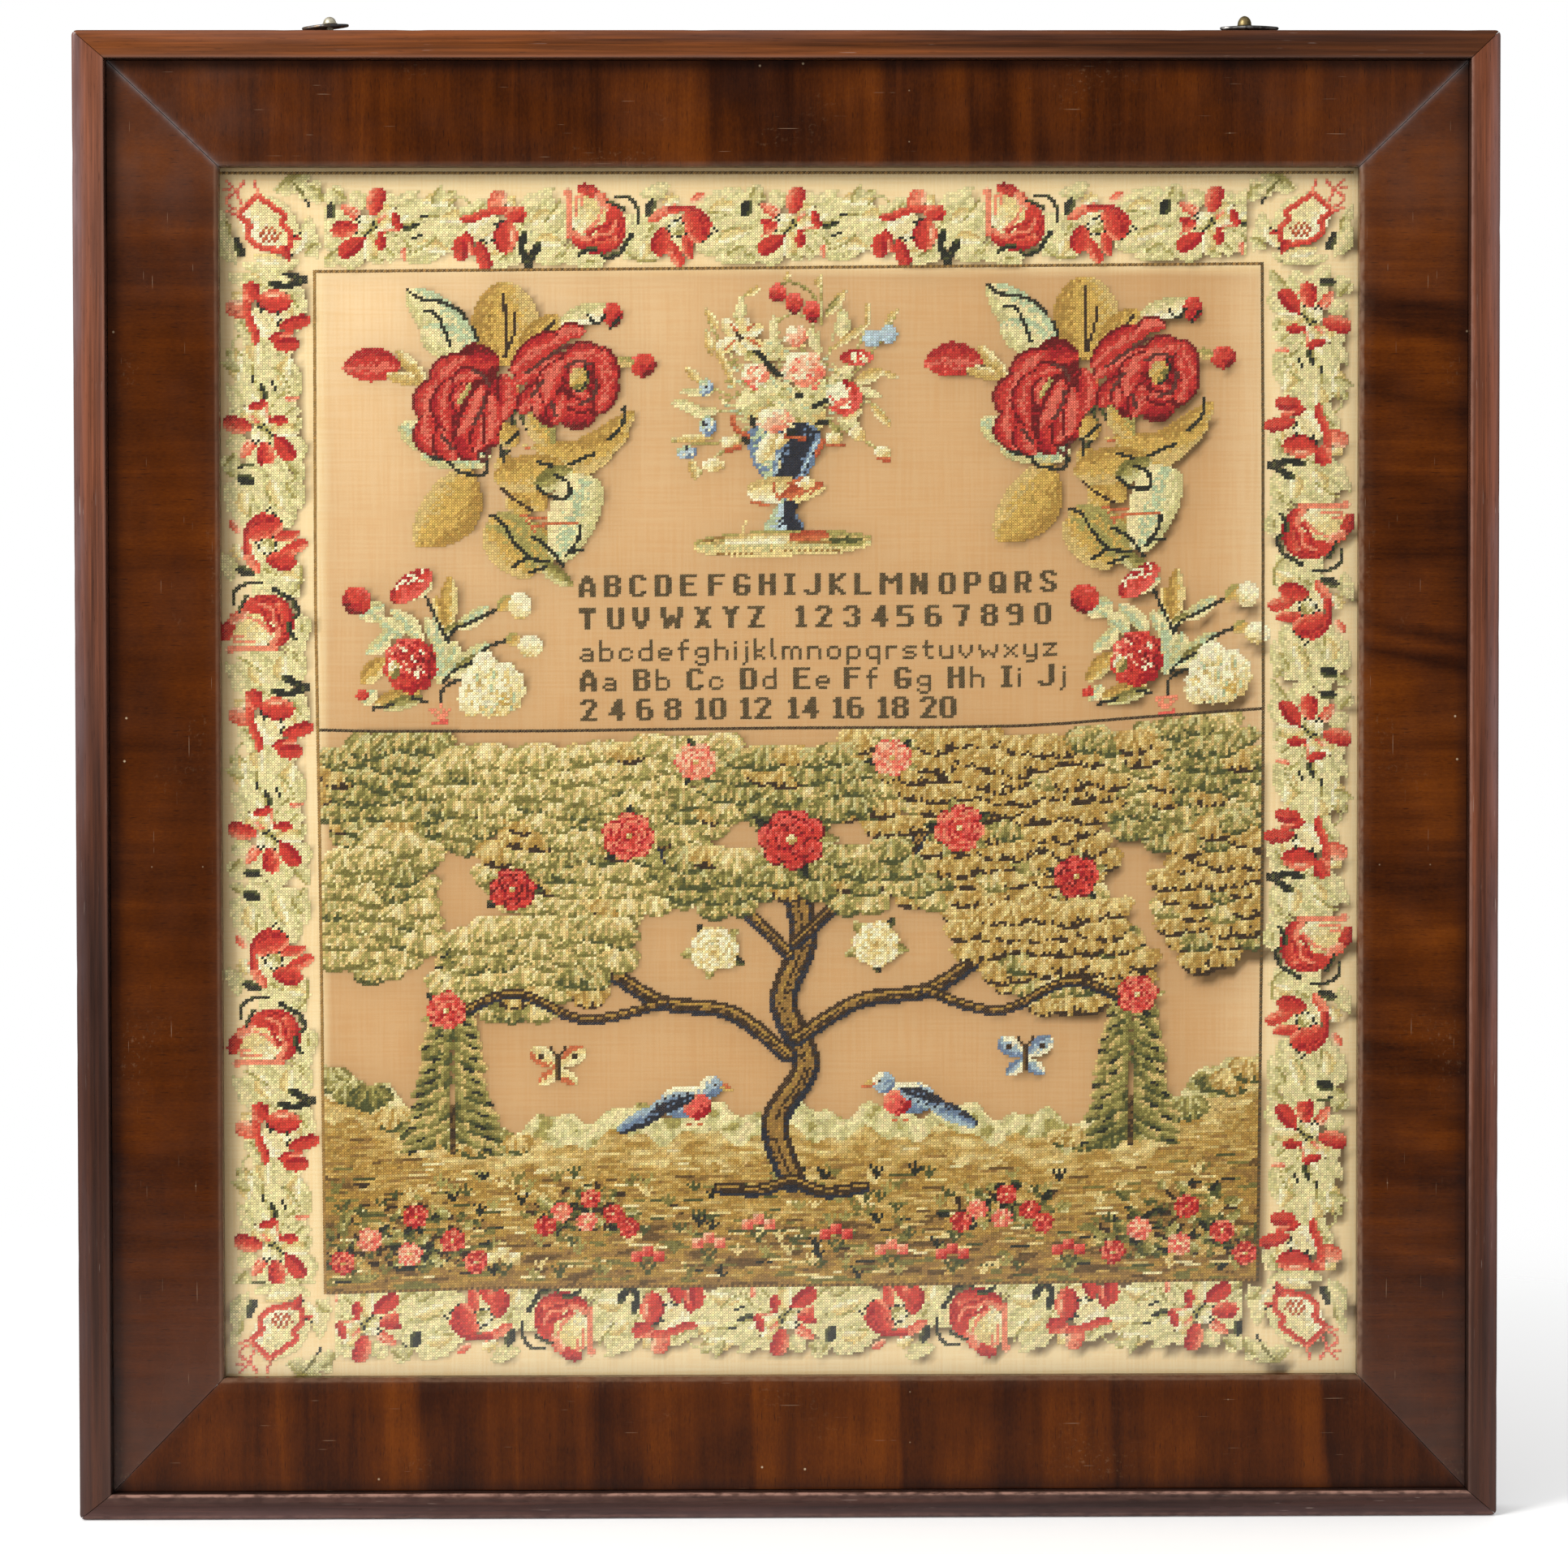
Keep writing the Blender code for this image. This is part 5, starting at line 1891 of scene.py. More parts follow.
# The leafy sprigs round the bouquet and the pale mass behind the flowers
SPRIGS = """
line OLIVE SAGE, width 1.1: 200 92 190 74 184 58 187 50 192 47; 196 90 178 66 173 54; 194 92 176 84
167 76; 192 94 176 92 162 90;192 96 178 104 161 103; 190 100 176 110 169 118; 204 88 198 70 199 60
205 56.6 211 60 212 68; 212 84 214 62 214 43;214 84 220 60 223 48; 218 84 228 68 231 53; 222 84 236
66 241 56; 222 88 234 80 241 80; 222 92 232 90 239 98; 220 98 230 104 239 110
leaf PALE_LEAF, blunt .6: 186 60 186 50 3.6; 222 68 222.6 55 4.6; 198 70 197.6 57 3.4; 214 72 210 62
4; 172 92 161 89 4; 178 92 168 94 4;216 84 226 76 5; 176 86 164 85 3; 226 84 236 88 3.4; 204 74 196
66 4; 186 92 188 84 5; 220 96 228 98 4
leaf OCHRE SAND STRAW CREAM, blunt .6: 178 62 173 54 3; 188 50 192.6 46.6 2.6; 176 72 173 62 3; 182
80 176 66 3; 184 84 178 70 3; 172 82 166 76 3;226 82 237 78 5; 236 79 241.6 80.4 2.4; 231 61 231 52
2.6; 237 61 241.6 55.4 2.2; 216 58 223.6 47.6 3.6; 213 47 214.4 42 2.4;202 45 203 41 2; 232 91 238.6
98.6 3; 222 96 229 92 4; 224 100 230 104 4; 170 118 168 110 3.4; 176 102 162 103 3.6; 218 70 232 60
3
leaf OLIVE_LEAF: 186 70 195 74 5; 204 98 214 92 6; 216 57 221 50 2.4; 206 94 212 101 5; 190 66 196
71 3; 217 96 222 104 3
oval SAND SAGE PALE_SAGE CREAM: 196 87 9 6; 212 86 8 5; 204 94 12 6; 190 90 6 5; 196 70 5 4
fleck CREAM SAGE SAGE STRAW OLIVE ICE: 200 84 22 18 210 61 1.4 .6
"""

# Bowl, collar, foot and slab
URN = """
leaf SLATE NAVY NAVY NAVY SLATE CREAM ICE SLATE, blunt .4 widest .26: 201 97 201 121 26
leaf SAND CREAM IVORY, blunt .5: 198 100 192 112 6; 203 100 198 107 4
line NAVY, width 3.4: 211 104 204 110 199 118
line SKY SLATE, width 1.6: 213.4 102 209.6 110 207 117; 199 108 198 115
leaf CREAMS, blunt .3: 188 122.4 210 121.6 9.6
leaf RUST BRICK STRAW, blunt .38 bend -.06: 200 126.4 215.4 120.6 7.4
oval STRAW IVORY: 208.6 119.4 3.4 2.2
line BRICK, width 1.2: 190 126.6 195 127.4; 197.6 120 198.4 124 202 126; 203 119.6 207 117.6
leaf SLATE NAVY SKY ICE, blunt .3 widest .78: 201 125 201 141.5 15
line NAVY, width 4.2: 203.6 128 203 132 205.6 137
leaf OLIVE SAND SAGE STRAW, blunt .3: 169 142.6 232 141 9.6
leaf SAND CREAM IVORY, blunt .25: 180 140.6 205 139.6 4.4
leaf RUST BRICK, blunt .3: 203 139.6 217 138.6 4
leaf FOREST OLIVE, blunt .4: 216 141.6 230 141.4 4
line STRAW, width 1: 174 144 224 143; 182 146.4 222 145.6; 186 137.4 188 133
line TAN, width 1: 176 145.4 222 144.4; 172 141 180 139; 206 141.6 218 141.4
"""

# The flowers one by one
BOUQUET = """
leaf STRAW CREAM IVORY, blunt .45: 185 65 179 58.6 5; 185 66 177 69.6 5; 186 64 188 57.6 4.4; 186 64
193.6 61.6 5; 186 66 194 69.6 5; 184 67 187 72 4
line BRICK, width 1: 182.4 60.4 185 64; 184 66 180.4 69.4; 188 65.4 192.6 68.4; 188 62.4 190.6 60.6
dot BARK: 184 63 185 64 185 65 184 64 186 65
oval SALMON BLUSH IVORY, frill 5 depth .1: 191 79 4.8 4.6; 208 77 7.6 6.4; 205.4 65 4 3.8; 197.6 96
6.4 4.6
fleck ROSE SALMON IVORY: 191 80 4 4 16 62 1 1
fleck ROSE SALMON BLUSH IVORY: 209 78 7 6 40 63 1 1
fleck BLUSH IVORY CREAM: 198 96 6 4 22 64 1 1
oval CRIMSON RED ROSE, light .7/.5: 223 88 5.8 6.6; 227 73 5.6 2.8
oval SALMON IVORY IVORY: 220.6 87 4.4 4.6
fleck ROSE IVORY: 221 88 5 5 16 65 1 1
fleck IVORY CREAM: 227 73 3.4 2 8 66 1 1
oval MIST SKY SKY: 232.6 66 3.2 3.4; 238.4 64.6 3.2 3.6
oval SLATE SKY ICE: 173.4 83.6 2.6 3.2; 174 98 3.2 3.6; 166.4 107.6 3.8 2.4
dot NAVY: 172 96 172 97 173 97 166 105 166 106 173 83
dot IVORY: 172 82 174 99 175 97 165 108 168 108 173 86 175 96
oval SAND CREAM IVORY: 176 112.6 4 2.4; 182 104 3.4 2.4; 218.6 103 3 2.4; 236 108 3 2; 227 101 2.6 3
line RUST BRICK, width 1.8: 183 95 184 99 188.6 102; 181 107 185 106; 215 104 212.6 109; 217 105.6
222 105.4; 235 110.4 238.4 111; 202 102 208 103
line NIGHT_GREEN, width 2: 189.4 95 190.6 98; 194.6 75 197 77 199.6 79.4; 191 70.4 194 73; 212 91
216.4 88.6; 213.4 97.4 216.4 97; 205.6 87.4 207.6 87; 186.6 103 188.4 104.4; 202.4 101 205 100.4
line MOSS OLIVE, width 1: 199.6 45.6 203.6 45 208.6 47 212 50.6 213.4 54
oval CRIMSON RED ROSE, light 0/-1.2: 199 48.8 2.9 3.4; 204.8 52.6 3 4; 211.2 55.8 2.9 4.2
dot WINE: 198 51 199 51 203 55 204 56 205 56 206 55 210 58 211 59 212 58 211 58
"""

# Pale leaves, stems, buds, flowers and the pink tie
CARNATIONS = """
leaf SAGE ICE PALE_SAGE CREAM, blunt .55 bend .08: 79 195 77 170 8; 81 193 85 179 6; 80 192 97 180
9; 84 174 97 166 6; 66 178 58 171 7; 73 180 62 167 6; 53 184 62 175 6; 76 178 74 170 4
leaf HONEY GOLD STRAW, blunt .5: 82 175 83 155 6.4; 51 195 60 185 7; 56 202 72 198 7; 78 162 80 172
4
leaf MOSS OLIVE SAGE, blunt .6: 58 204 73 200 5; 84 190 94 184 4; 80 176 88 172 3
line NIGHT_GREEN, width 1.2: 74 161 77 168 81.4 178; 82 179 84 175 89 172.6 95 169.6 101 166.6; 80.4
194 84 190 90 187 95 182 103 178.6; 79.6 202 80 197 84 194 88 193.6; 55 204 62 202.6; 69 200 74
201.6
leaf SAGE ICE PALE_SAGE CREAM, blunt .5: 51 170 60 166 8; 67 163 77 158 5; 52 203 56 197 5; 60 172
55 168 4
leaf OLIVE GOLD SAND, blunt .5: 100 168 106 162 5; 103 180 107.6 177 4.6
oval REDS, light .5/-.7: 50 164 5.2 5.4
oval CRIMSON RED RED ROSE: 51.4 199.2 2.2 2
leaf CRIMSON RED ROSE, blunt .4: 63 164 76 153 9; 64 165 66 158 6
line IVORY, width 1: 65 158 67 156.6; 68 157.6 71 155.6; 68 154.6 71 154; 73 152.6 74 154; 72 157 74
156; 64.4 160 64 158.6
oval CRIMSON RED RED ROSE, frill 9 depth .05: 68.6 188 9.4 10.4
fleck WINE CRIMSON: 74 186 3 7 26 52 .6 1.6
fleck ROSE CRIMSON: 67 187 8 9 46 53 1 1
fleck IVORY BLUSH: 67 186 7 8 13 54 1 1.2
oval MOSS SAND IVORY: 62.8 189.6 2.4 3.4
oval SAND CREAM IVORY IVORY, light .3/-.6: 108 166 4 5; 111.6 181 4.4 4.4
oval SAND CREAM IVORY IVORY, frill 11 depth .05 light -.2/-.5: 98 196.6 11.6 10.6; 90 200 4.6 7; 95
188 4.6 5
fleck SAND STRAW ICE: 98 197 10 9 60 55 .2 1.8
fleck IVORY: 96 195 9 9 40 56 .2 1.8
fleck GOLD: 102 201 2.4 2 6 57 1 1
line SALMON, width 1: 76 203 82.6 203; 75.6 204.4 79 207.6 82.4 204.4; 77.4 204.6 79.2 206.4 80.8
204.6
line ROSE, width 1.4: 76.4 209.4 81.6 209
"""

# Each letter as lines through points, x and y as digit pairs, with its foot at y = 7
CAPITALS = {
    "A": "0703204347 0545", "B": "0007 003041423303 3344463707", "C": "4130100106173746",
    "D": "0007 003041463707", "E": "40000747 0333", "F": "400007 0333",
    "G": "4130100106173746 464424", "H": "0007 4047 0343", "I": "0020 1017 0727",
    "J": "4046371706", "K": "0007 400347", "L": "000747", "M": "0700336067", "N": "07004740",
    "O": "103041463717060110", "P": "07003041433404", "Q": "103041463717060110 2547",
    "R": "07003041433404 2447", "S": "413010010213344546371706", "T": "01004041 2027",
    "U": "000617374640", "V": "0004274440", "W": "0017335760", "X": "0047 4007",
    "Y": "002340 2327", "Z": "00400747",
    "0": "103041463717060110", "1": "112027 1737", "2": "01103041420747",
    "3": "0110304142334446371706", "4": "37300545", "5": "4000033344463707",
    "6": "30100106173746443303", "7": "004027", "8": "103041423313020110 1304061737464433",
    "9": "43130201103041463717",
}
SMALL_LETTERS = {
    "a": "13334447 451506173746", "b": "0007 0413334446371706", "c": "4433130406173746",
    "d": "4047 4433130406173746", "e": "054544331304061737", "f": "30201117 0333",
    "g": "4348391908 4433130405163645", "h": "0007 0413334447", "i": "0307 0101",
    "j": "131809 1111", "k": "0007 330537", "l": "000617", "m": "0703 0413233437 3443536467",
    "n": "0703 0413334447", "o": "133344463717060413", "p": "0309 0413334446371706",
    "q": "4349 4433130406173746", "r": "0703 041333", "s": "4313041535463707",
    "t": "11162737 0333", "u": "0306173746 4347", "v": "0305274543", "w": "0317355763",
    "x": "0347 4307", "y": "0306173746 43483919", "z": "03430747",
}


@dataclass
class LetterRows:
    """Five rows of practice letters and figures between the small sprays."""

    chart: Chart
    left: int = 128
    height: int = 7
    feet: tuple[int, ...] = (158, 170, 182, 193, 204)
    rows: tuple[str, ...] = (
        "ABCDEFGHIJKLMNOPQRS", "TUVWXYZ 1234567890", "abcdefghijklmnopqrstuvwxyz",
        "Aa Bb Cc Dd Ee Ff Gg Hh Ii Jj", "2 4 6 8 10 12 14 16 18 20",
    )
    ends: tuple[int, ...] = (298, 296, 298, 301, 262)

    @staticmethod
    def shape(letter: str) -> Array:
        """Draws one letter or number; a capital's lines are two stitches wide.

        Args:
            letter: the letter or the number.

        Returns:
            Its stitches, each as a column and a row from its upper left.
        """
        lines = CAPITALS.get(letter) or SMALL_LETTERS[letter]
        places = []
        for line in lines.split():
            points = np.array([int(digit) for digit in line]).reshape(-1, 2)
            for start, end in zip(points[:-1], points[1:]):
                steps = max(1, int(np.abs(end - start).max()))
                share = np.arange(steps + 1)[:, None] / steps
                places.append(np.floor(start + (end - start) * share + 0.5).astype(int))
        shape = np.concatenate(places)
        if letter in CAPITALS:
            shape = np.concatenate([shape, shape + (1, 0)])
        return shape

    def stitch(self) -> None:
        """Spreads each row's letters from the left edge to that row's end."""
        for text, foot, end in zip(self.rows, self.feet, self.ends):
            shapes = [None if letter == " " else self.shape(letter) for letter in text]
            widths = [2 if shape is None else shape[:, 0].max() + 1 for shape in shapes]
            gap = (end - self.left - sum(widths)) / (len(text) - 1)
            place = float(self.left)
            for shape, width in zip(shapes, widths):
                if shape is not None:
                    rows, columns = shape[:, 1] + foot - self.height, shape[:, 0] + round(place)
                    self.chart.cells[rows, columns] = Thread.LETTER.number
                place += width + gap


@dataclass
class Rules:
    """The thin dark lines round the upper panel and the lower one, and round the border."""

    chart: Chart
    outer: int = 1

    def stitch(self) -> None:
        """Stitches each line one stitch wide, in two threads by turns."""
        cells, left, top = self.chart.cells, PANEL_LEFT - 1, PANEL_TOP - 1
        across = ((top, "UMBER TAN"), (DIVIDER, "BARK LETTER"), (PANEL_BOTTOM, "TAN UMBER"))
        down = ((left, "TAN"), (PANEL_RIGHT, "LETTER UMBER"))
        for lines, work, start, end in (
            (across, cells, left, PANEL_RIGHT + 1), (down, cells.T, top, PANEL_BOTTOM + 1),
            (((self.outer, "UMBER TAN"),), cells, 0, self.chart.columns),
        ):
            for place, names in lines:
                numbers = [thread.number for thread in yarns(names)]
                work[place, start:end] = np.resize(numbers, end - start)
        cells[: self.outer] = 0


# A bird that looks to the right, from its middle: tail, body, breast, wing, head, eye and feet
BIRD = """
leaf NAVY SLATE MIST, blunt .5: -6 1 -25 11 6.5
oval SLATE MIST IVORY, light -.2/-.8: 0 0 9.5 6.5
oval CRIMSON ROSE SALMON: 4 1.6 5.5 5
leaf BLUES, blunt .55 vein NAVY ribs 3: 3 -3 -13 3 6.5
oval SLATE MIST IVORY: 9 -6 4.2 3.8
dot BARK: 10.5 -7
leaf BRICK OCHRE: 12 -6 17 -4.6 2.4
line BRICK, width 1: 1 6 1 11; 5 6 5 11
"""


@dataclass
class LifeTree:
    """The lower panel: a great tree in leaf over flowery mounds, alike on both sides.

    Firs, a pair of birds, butterflies and rose bushes stand evenly on both sides of it.
    Places are counted from the panel's middle line and its upper edge.
    """

    chart: Chart
    middle: float = 168.0
    half: float = 168.0
    depth: float = 212.0

    def at(self, across: float, down: float) -> Pair:
        """Gives a place on the chart from one in the panel."""
        return self.middle + across, down

    def bough(
        self, across: float, down: float, size: float, shades: Shades, deep: Thread, lot: Lot
    ) -> None:
        """Stitches one bough: a fan of hanging leaves, its underside first, in a deep thread.

        Args:
            across: its middle, from the panel's middle line.
            down: and from the panel's upper edge.
            size: about half its width.
            shades: its leaves' threads.
            deep: the thread of its underside.
            lot: the random numbers that vary it.
        """
        under = self.at(across, down + 0.45 * size)
        self.chart.disc(under, (0.85 * size, 0.5 * size), (deep, deep, shades[0]), light=(0, -1))
        for turn in lot.permutation(9):
            angle = math.pi * (turn + lot.uniform(0.2, 0.8)) / 9
            level = down + 0.85 * size * math.sin(angle) + lot.uniform(-1, 1)
            tip = self.at(across + 1.15 * size * math.cos(angle), level)
            base = self.at(across + 0.25 * size * math.cos(angle), down - 0.45 * size)
            side = lot.choice((-1.0, 1.0))
            self.chart.blade(base, tip, 3.6, shades, blunt=0.6, side=side, rise=-0.5)

    def leafage(self, across: float, down: float, radii: Pair, seed: int, kind: int) -> None:
        """Stitches one mass of boughs, the upper ones laid over the lower.

        Args:
            across: its centre, from the panel's middle line.
            down: and from the panel's upper edge.
            radii: its radii across and down.
            seed: picks how its boughs lie.
            kind: 0 for straw leaves, 1 for ochre ones with dark gaps, 2 for olive ones.
        """
        lot = np.random.default_rng(seed)
        sorts = (
            (yarns("OLIVE SAND STRAW CREAM"), Thread.MOSS),
            (yarns("HONEY OCHRE SAND STRAW"), Thread.BARK),
            (yarns("MOSS OLIVE SAND SAGE"), Thread.FOREST),
        )
        for level in np.arange(0.92, -1.0, -6.2 / radii[1]):
            reach = math.sqrt(max(0.05, 1 - level * level)) * radii[0]
            for place in np.arange(-reach, reach, 8.6) + lot.uniform(0, 6):
                shades, deep = sorts[kind if lot.random() < 0.72 else lot.integers(3)]
                middle = across + place + lot.uniform(-2, 2)
                height = down + level * radii[1] + lot.uniform(-1.5, 1.5)
                self.bough(middle, height, lot.uniform(5.6, 8.0), shades, deep, lot)

    def trunk(self) -> None:
        """Stitches the trunk and its curling branches, dark with warm lights."""
        lines = (
            ("0 172 -6 150 5 128 -3 104 4 80 0 50 2 22", 10.0),
            ("-2 124 -22 108 -46 104 -62 94; 2 118 24 104 48 100 64 90", 6.0),
            ("-1 86 -20 66 -42 52 -48 30; 1 82 22 62 42 48 50 28", 5.0),
            ("-46 104 -74 110 -100 100 -124 110; 48 100 74 108 100 98 124 108", 4.0),
            ("0 172 -12 176 -26 175; 0 172 12 177 26 175", 5.0),
        )
        needle = Needle(self.chart, (self.middle, 0.0))
        for text, width in lines:
            for names, share in (("NAVY BARK", 1.0), ("BARK TAN HONEY", 0.55), ("BARK", 0.1)):
                needle.work(f"line {names}, width {width * share}: {text}")

    def crest(self, across: Array) -> Array:
        """Gives how far down the mounds' upper edge lies: a hump of cosines."""
        hump = 15 * np.cos(across / 26) * np.exp(-((across / 150) ** 2))
        return 160 - hump + 9 * np.sin(np.abs(across) / 19 + 1.2) - 0.10 * np.abs(across)

    def ground(self) -> None:
        """Stitches the mounds: a pale far edge, ochre wool, dashes, tufts and dark hollows."""
        chart, lot = self.chart, np.random.default_rng(73)
        part, across, down = chart.window(self.at(-self.half, 110), self.at(self.half, self.depth))
        grid = np.zeros(chart.cells.shape, bool)
        crest = self.crest(across - self.middle)
        layers = (
            (-9, "OLIVE SAGE PALE_SAGE CREAM", (3, 3)),
            (1, "HONEY OCHRE SAND STRAW", (5, 2)),
            (11, "TAN HONEY OCHRE HONEY", (6, 1)),
            (34, "UMBER TAN HONEY MOSS", (7, 2)),
        )
        for index, (below, names, clump) in enumerate(layers):
            edge = crest + below + 2.5 * np.sin(across / 4.7 + index)
            grid[part] = down > edge + 1.5 * np.sin(across / 2.1)
            chart.mottle(grid, yarns(names), 71 + index, clump)
        pools = (
            ("STRAW CREAM", 200, 8, 6), ("SAND OCHRE", 240, 10, 4), ("TAN UMBER", 150, 8, 12),
            ("FOREST MOSS", 130, 9, 16), ("NIGHT_GREEN BARK", 60, 6, 26),
        )
        for names, count, longest, below in pools:
            for _ in range(count):
                place = lot.uniform(-self.half + 2, self.half - longest)
                level = lot.uniform(146, self.depth - 2)
                if level > self.crest(np.array(place)) + below:
                    run = lot.uniform(2, longest)
                    dash = [self.at(place, level), self.at(place + run, level)]
                    chart.stroke(dash, 1.0, (yarns(names)[lot.integers(2)],))
        for _ in range(190):
            place = lot.uniform(-self.half + 4, self.half - 6)
            level = lot.uniform(170, self.depth - 2)
            thread = yarns("NIGHT_GREEN FOREST MOSS OLIVE STRAW")[lot.integers(5)]
            for lean in (-2.2, 0, 2.2):
                tip = self.at(place + lean, level - lot.uniform(2, 4.5))
                chart.stroke([self.at(place, level), tip], 1.0, (thread,))

    def hedge(self, start: float, end: float, foot: float, seed: int) -> None:
        """Stitches a row of round bushes along the mounds' upper edge.

        Args:
            start: where it starts, from the panel's middle line.
            end: where it ends.
            foot: how far its bushes' middles lie below the mounds' edge.
            seed: picks how it varies.
        """
        lot = np.random.default_rng(seed)
        for place in np.arange(start, end, 7.5):
            level = float(self.crest(np.array(place))) + foot + lot.uniform(-3, 3)
            size = lot.uniform(5, 7.5)
            names = ("MOSS OLIVE SAGE", "HONEY SAND STRAW", "FOREST MOSS OLIVE")[lot.integers(3)]
            self.bough(place, level, size, yarns(names), Thread.FOREST, lot)

    def fir(self, across: float, foot: float, height: float, seed: int) -> None:
        """Stitches one tall fir: tiers of drooping boughs, wider towards its foot.

        Args:
            across: its place, from the panel's middle line.
            foot: how far its foot lies below the panel's upper edge.
            height: its height.
            seed: picks how it varies.
        """
        chart, lot = self.chart, np.random.default_rng(seed)
        stem = [self.at(across, foot), self.at(across, foot - height * 0.2)]
        chart.stroke(stem, 3.0, yarns("BARK UMBER"))
        for share in np.arange(0.08, 1.0, 0.052)[::-1]:
            level = foot - height * (1 - share) - 2
            reach = 2.5 + 17.5 * share
            for side in (-1, 1):
                for part in (1.0, 0.62, 0.3):
                    end = across + side * reach * part * lot.uniform(0.88, 1.05)
                    tip = self.at(end, level + 5.5 * part + lot.uniform(-1, 1))
                    shades = yarns(("FOREST MOSS OLIVE", "MOSS OLIVE SAND")[lot.integers(2)])
                    base = self.at(across + side, level - 3)
                    chart.blade(base, tip, 4.8, shades, blunt=0.55, side=-side, widest=0.6)
                spot = self.at(across + side * reach * lot.uniform(0.3, 0.8), level + 4)
                chart.stroke([spot, (spot[0] + side * 2.5, spot[1] + 1)], 1.1, yarns("NIGHT_GREEN"))

    def bird(self, across: float, down: float, way: float) -> None:
        """Stitches one bird that looks towards the way given, -1 for left or 1 for right."""
        Needle(self.chart, self.at(across, down), way).work(BIRD)

    def butterfly(self, across: float, down: float, shades: Shades) -> None:
        """Stitches one butterfly with its wings spread.

        Args:
            across: its place, from the panel's middle line.
            down: and from the panel's upper edge.
            shades: its wings' threads.
        """
        chart, at = self.chart, self.at
        for side in (-1, 1):
            upper, lower = at(across + side * 9.5, down - 7), at(across + side * 6.5, down + 6.5)
            chart.blade(at(across, down), upper, 7.0, shades, blunt=0.4, widest=0.66)
            chart.blade(at(across, down + 1), lower, 5.0, shades[::-1], blunt=0.4)
            chart.dots([at(across + side * 6 - 0.5, down - 5)], Thread.BARK, 2)
            feeler = [at(across, down - 3), at(across + side * 3, down - 8)]
            chart.stroke(feeler, 0.9, yarns("BARK"))
        chart.blade(at(across, down - 4), at(across, down + 6), 2.6, yarns("BARK UMBER"))

    def rose(self, across: float, down: float, size: float, shades: Shades, seed: int) -> None:
        """Stitches a full rose: three rings of overlapping petals round a loose heart.

        Each petal is an oval whose shade rises outwards from the heart, with a dark crescent
        where the next ring lies on it.

        Args:
            across: its place, from the panel's middle line.
            down: and from the panel's upper edge.
            size: its radius.
            shades: its threads, from the darkest to the lightest.
            seed: picks how it varies.
        """
        lot = np.random.default_rng(seed)
        middle = self.at(across, down)
        for reach, count, share in ((0.66, 7, 0.40), (0.40, 5, 0.36), (0.17, 3, 0.30)):
            turn = lot.uniform(0, 2 * math.pi)
            for index in lot.permutation(count):
                angle = turn + 2 * math.pi * (index + lot.uniform(-0.15, 0.15)) / count
                way = np.array((math.cos(angle), math.sin(angle)))
                place = np.array(middle) + way * reach * size
                oval = size * share * lot.uniform(0.9, 1.12)
                self.chart.disc(place, (oval + 0.5, oval + 0.5), shades[:2], light=(0, 0))
                light = tuple(way * 0.85 + (-0.12, -0.25))
                self.chart.disc(place, (oval, oval), shades, light=light, core=0.2)
        self.chart.disc(middle, (size * 0.17, size * 0.15), yarns("OCHRE CREAM"))

    def bush(self, across: float, foot: float, size: float, seed: int) -> None:
        """Stitches one low rose bush with dark leaves and red flowers.

        Args:
            across: its place, from the panel's middle line.
            foot: how far its foot lies below the panel's upper edge.
            size: about half its width.
            seed: picks how it varies.
        """
        lot = np.random.default_rng(seed)
        for _ in range(round(size * 7)):
            angle, reach = lot.uniform(-math.pi, 0), size * lot.uniform(0.1, 1.1)
            spot = (across + 1.25 * reach * math.cos(angle), foot - 2 + reach * math.sin(angle))
            kinds = ("DARK_LEAF", "OLIVE_LEAF", "OCHRE_LEAF", "FOREST MOSS", "BARK TAN")
            names = kinds[lot.integers(5)]
            end = (spot[0] + lot.uniform(-6, 6), spot[1] + lot.uniform(-5, 1))
            self.chart.blade(self.at(*spot), self.at(*end), 3.6, yarns(names))
        flowers = ((-0.6, 0.55), (0.1, 0.9), (0.65, 0.5), (0.0, 0.3), (-1.0, 0.2), (1.0, 0.15))
        for index, (right, up) in enumerate(flowers):
            shades, place = yarns("LIGHT_REDS" if index % 3 else "PINKS"), across + right * size
            self.rose(place, foot - up * size, 2.0 + size * 0.08, shades, seed + index)

    def stitch(self) -> None:
        """Stitches ground, firs, leafage and trunk, and then the flowers and small figures."""
        self.ground()
        self.hedge(-166, -96, -3, 91)
        self.hedge(98, 168, -3, 92)
        for side in (-1, 1):
            self.fir(side * 122, 160, 84, 81 + side)
        behind = (
            (-140, 24, (30, 24), 2), (142, 24, (30, 24), 2), (-150, 66, (20, 26), 0),
            (152, 66, (20, 26), 1), (-98, 94, (26, 12), 0), (98, 92, (26, 12), 1),
            (-70, 52, (40, 20), 0), (72, 50, (40, 20), 1),
        )
        for across, down, radii, kind in behind:
            self.leafage(across, down, radii, int(200 + across), kind)
        self.trunk()
        before = (
            (-44, 20, (40, 18), 0), (48, 18, (42, 18), 1), (-88, 80, (30, 12), 0),
            (90, 78, (30, 12), 1), (-96, 18, (30, 16), 0), (98, 16, (30, 16), 1),
            (0, 20, (28, 15), 2), (-24, 56, (20, 11), 2), (26, 54, (20, 11), 2),
        )
        for across, down, radii, kind in before:
            self.leafage(across, down, radii, int(300 + across), kind)
        flowers = (
            (0, 42, 11, "REDS"), (-58, 40, 8.5, "LIGHT_REDS"), (60, 38, 8.5, "LIGHT_REDS"),
            (-28, 84, 8, "CREAMS"), (30, 82, 8, "CREAMS"), (-100, 60, 7.5, "REDS"),
            (102, 58, 7.5, "REDS"), (-34, 12, 6.5, "PINKS"), (36, 11, 6.5, "PINKS"),
            (-124, 106, 6.5, "LIGHT_REDS"), (124, 104, 6.5, "LIGHT_REDS"),
        )
        for index, (across, down, size, names) in enumerate(flowers):
            for turn in range(5):
                angle = turn * 1.257 + index
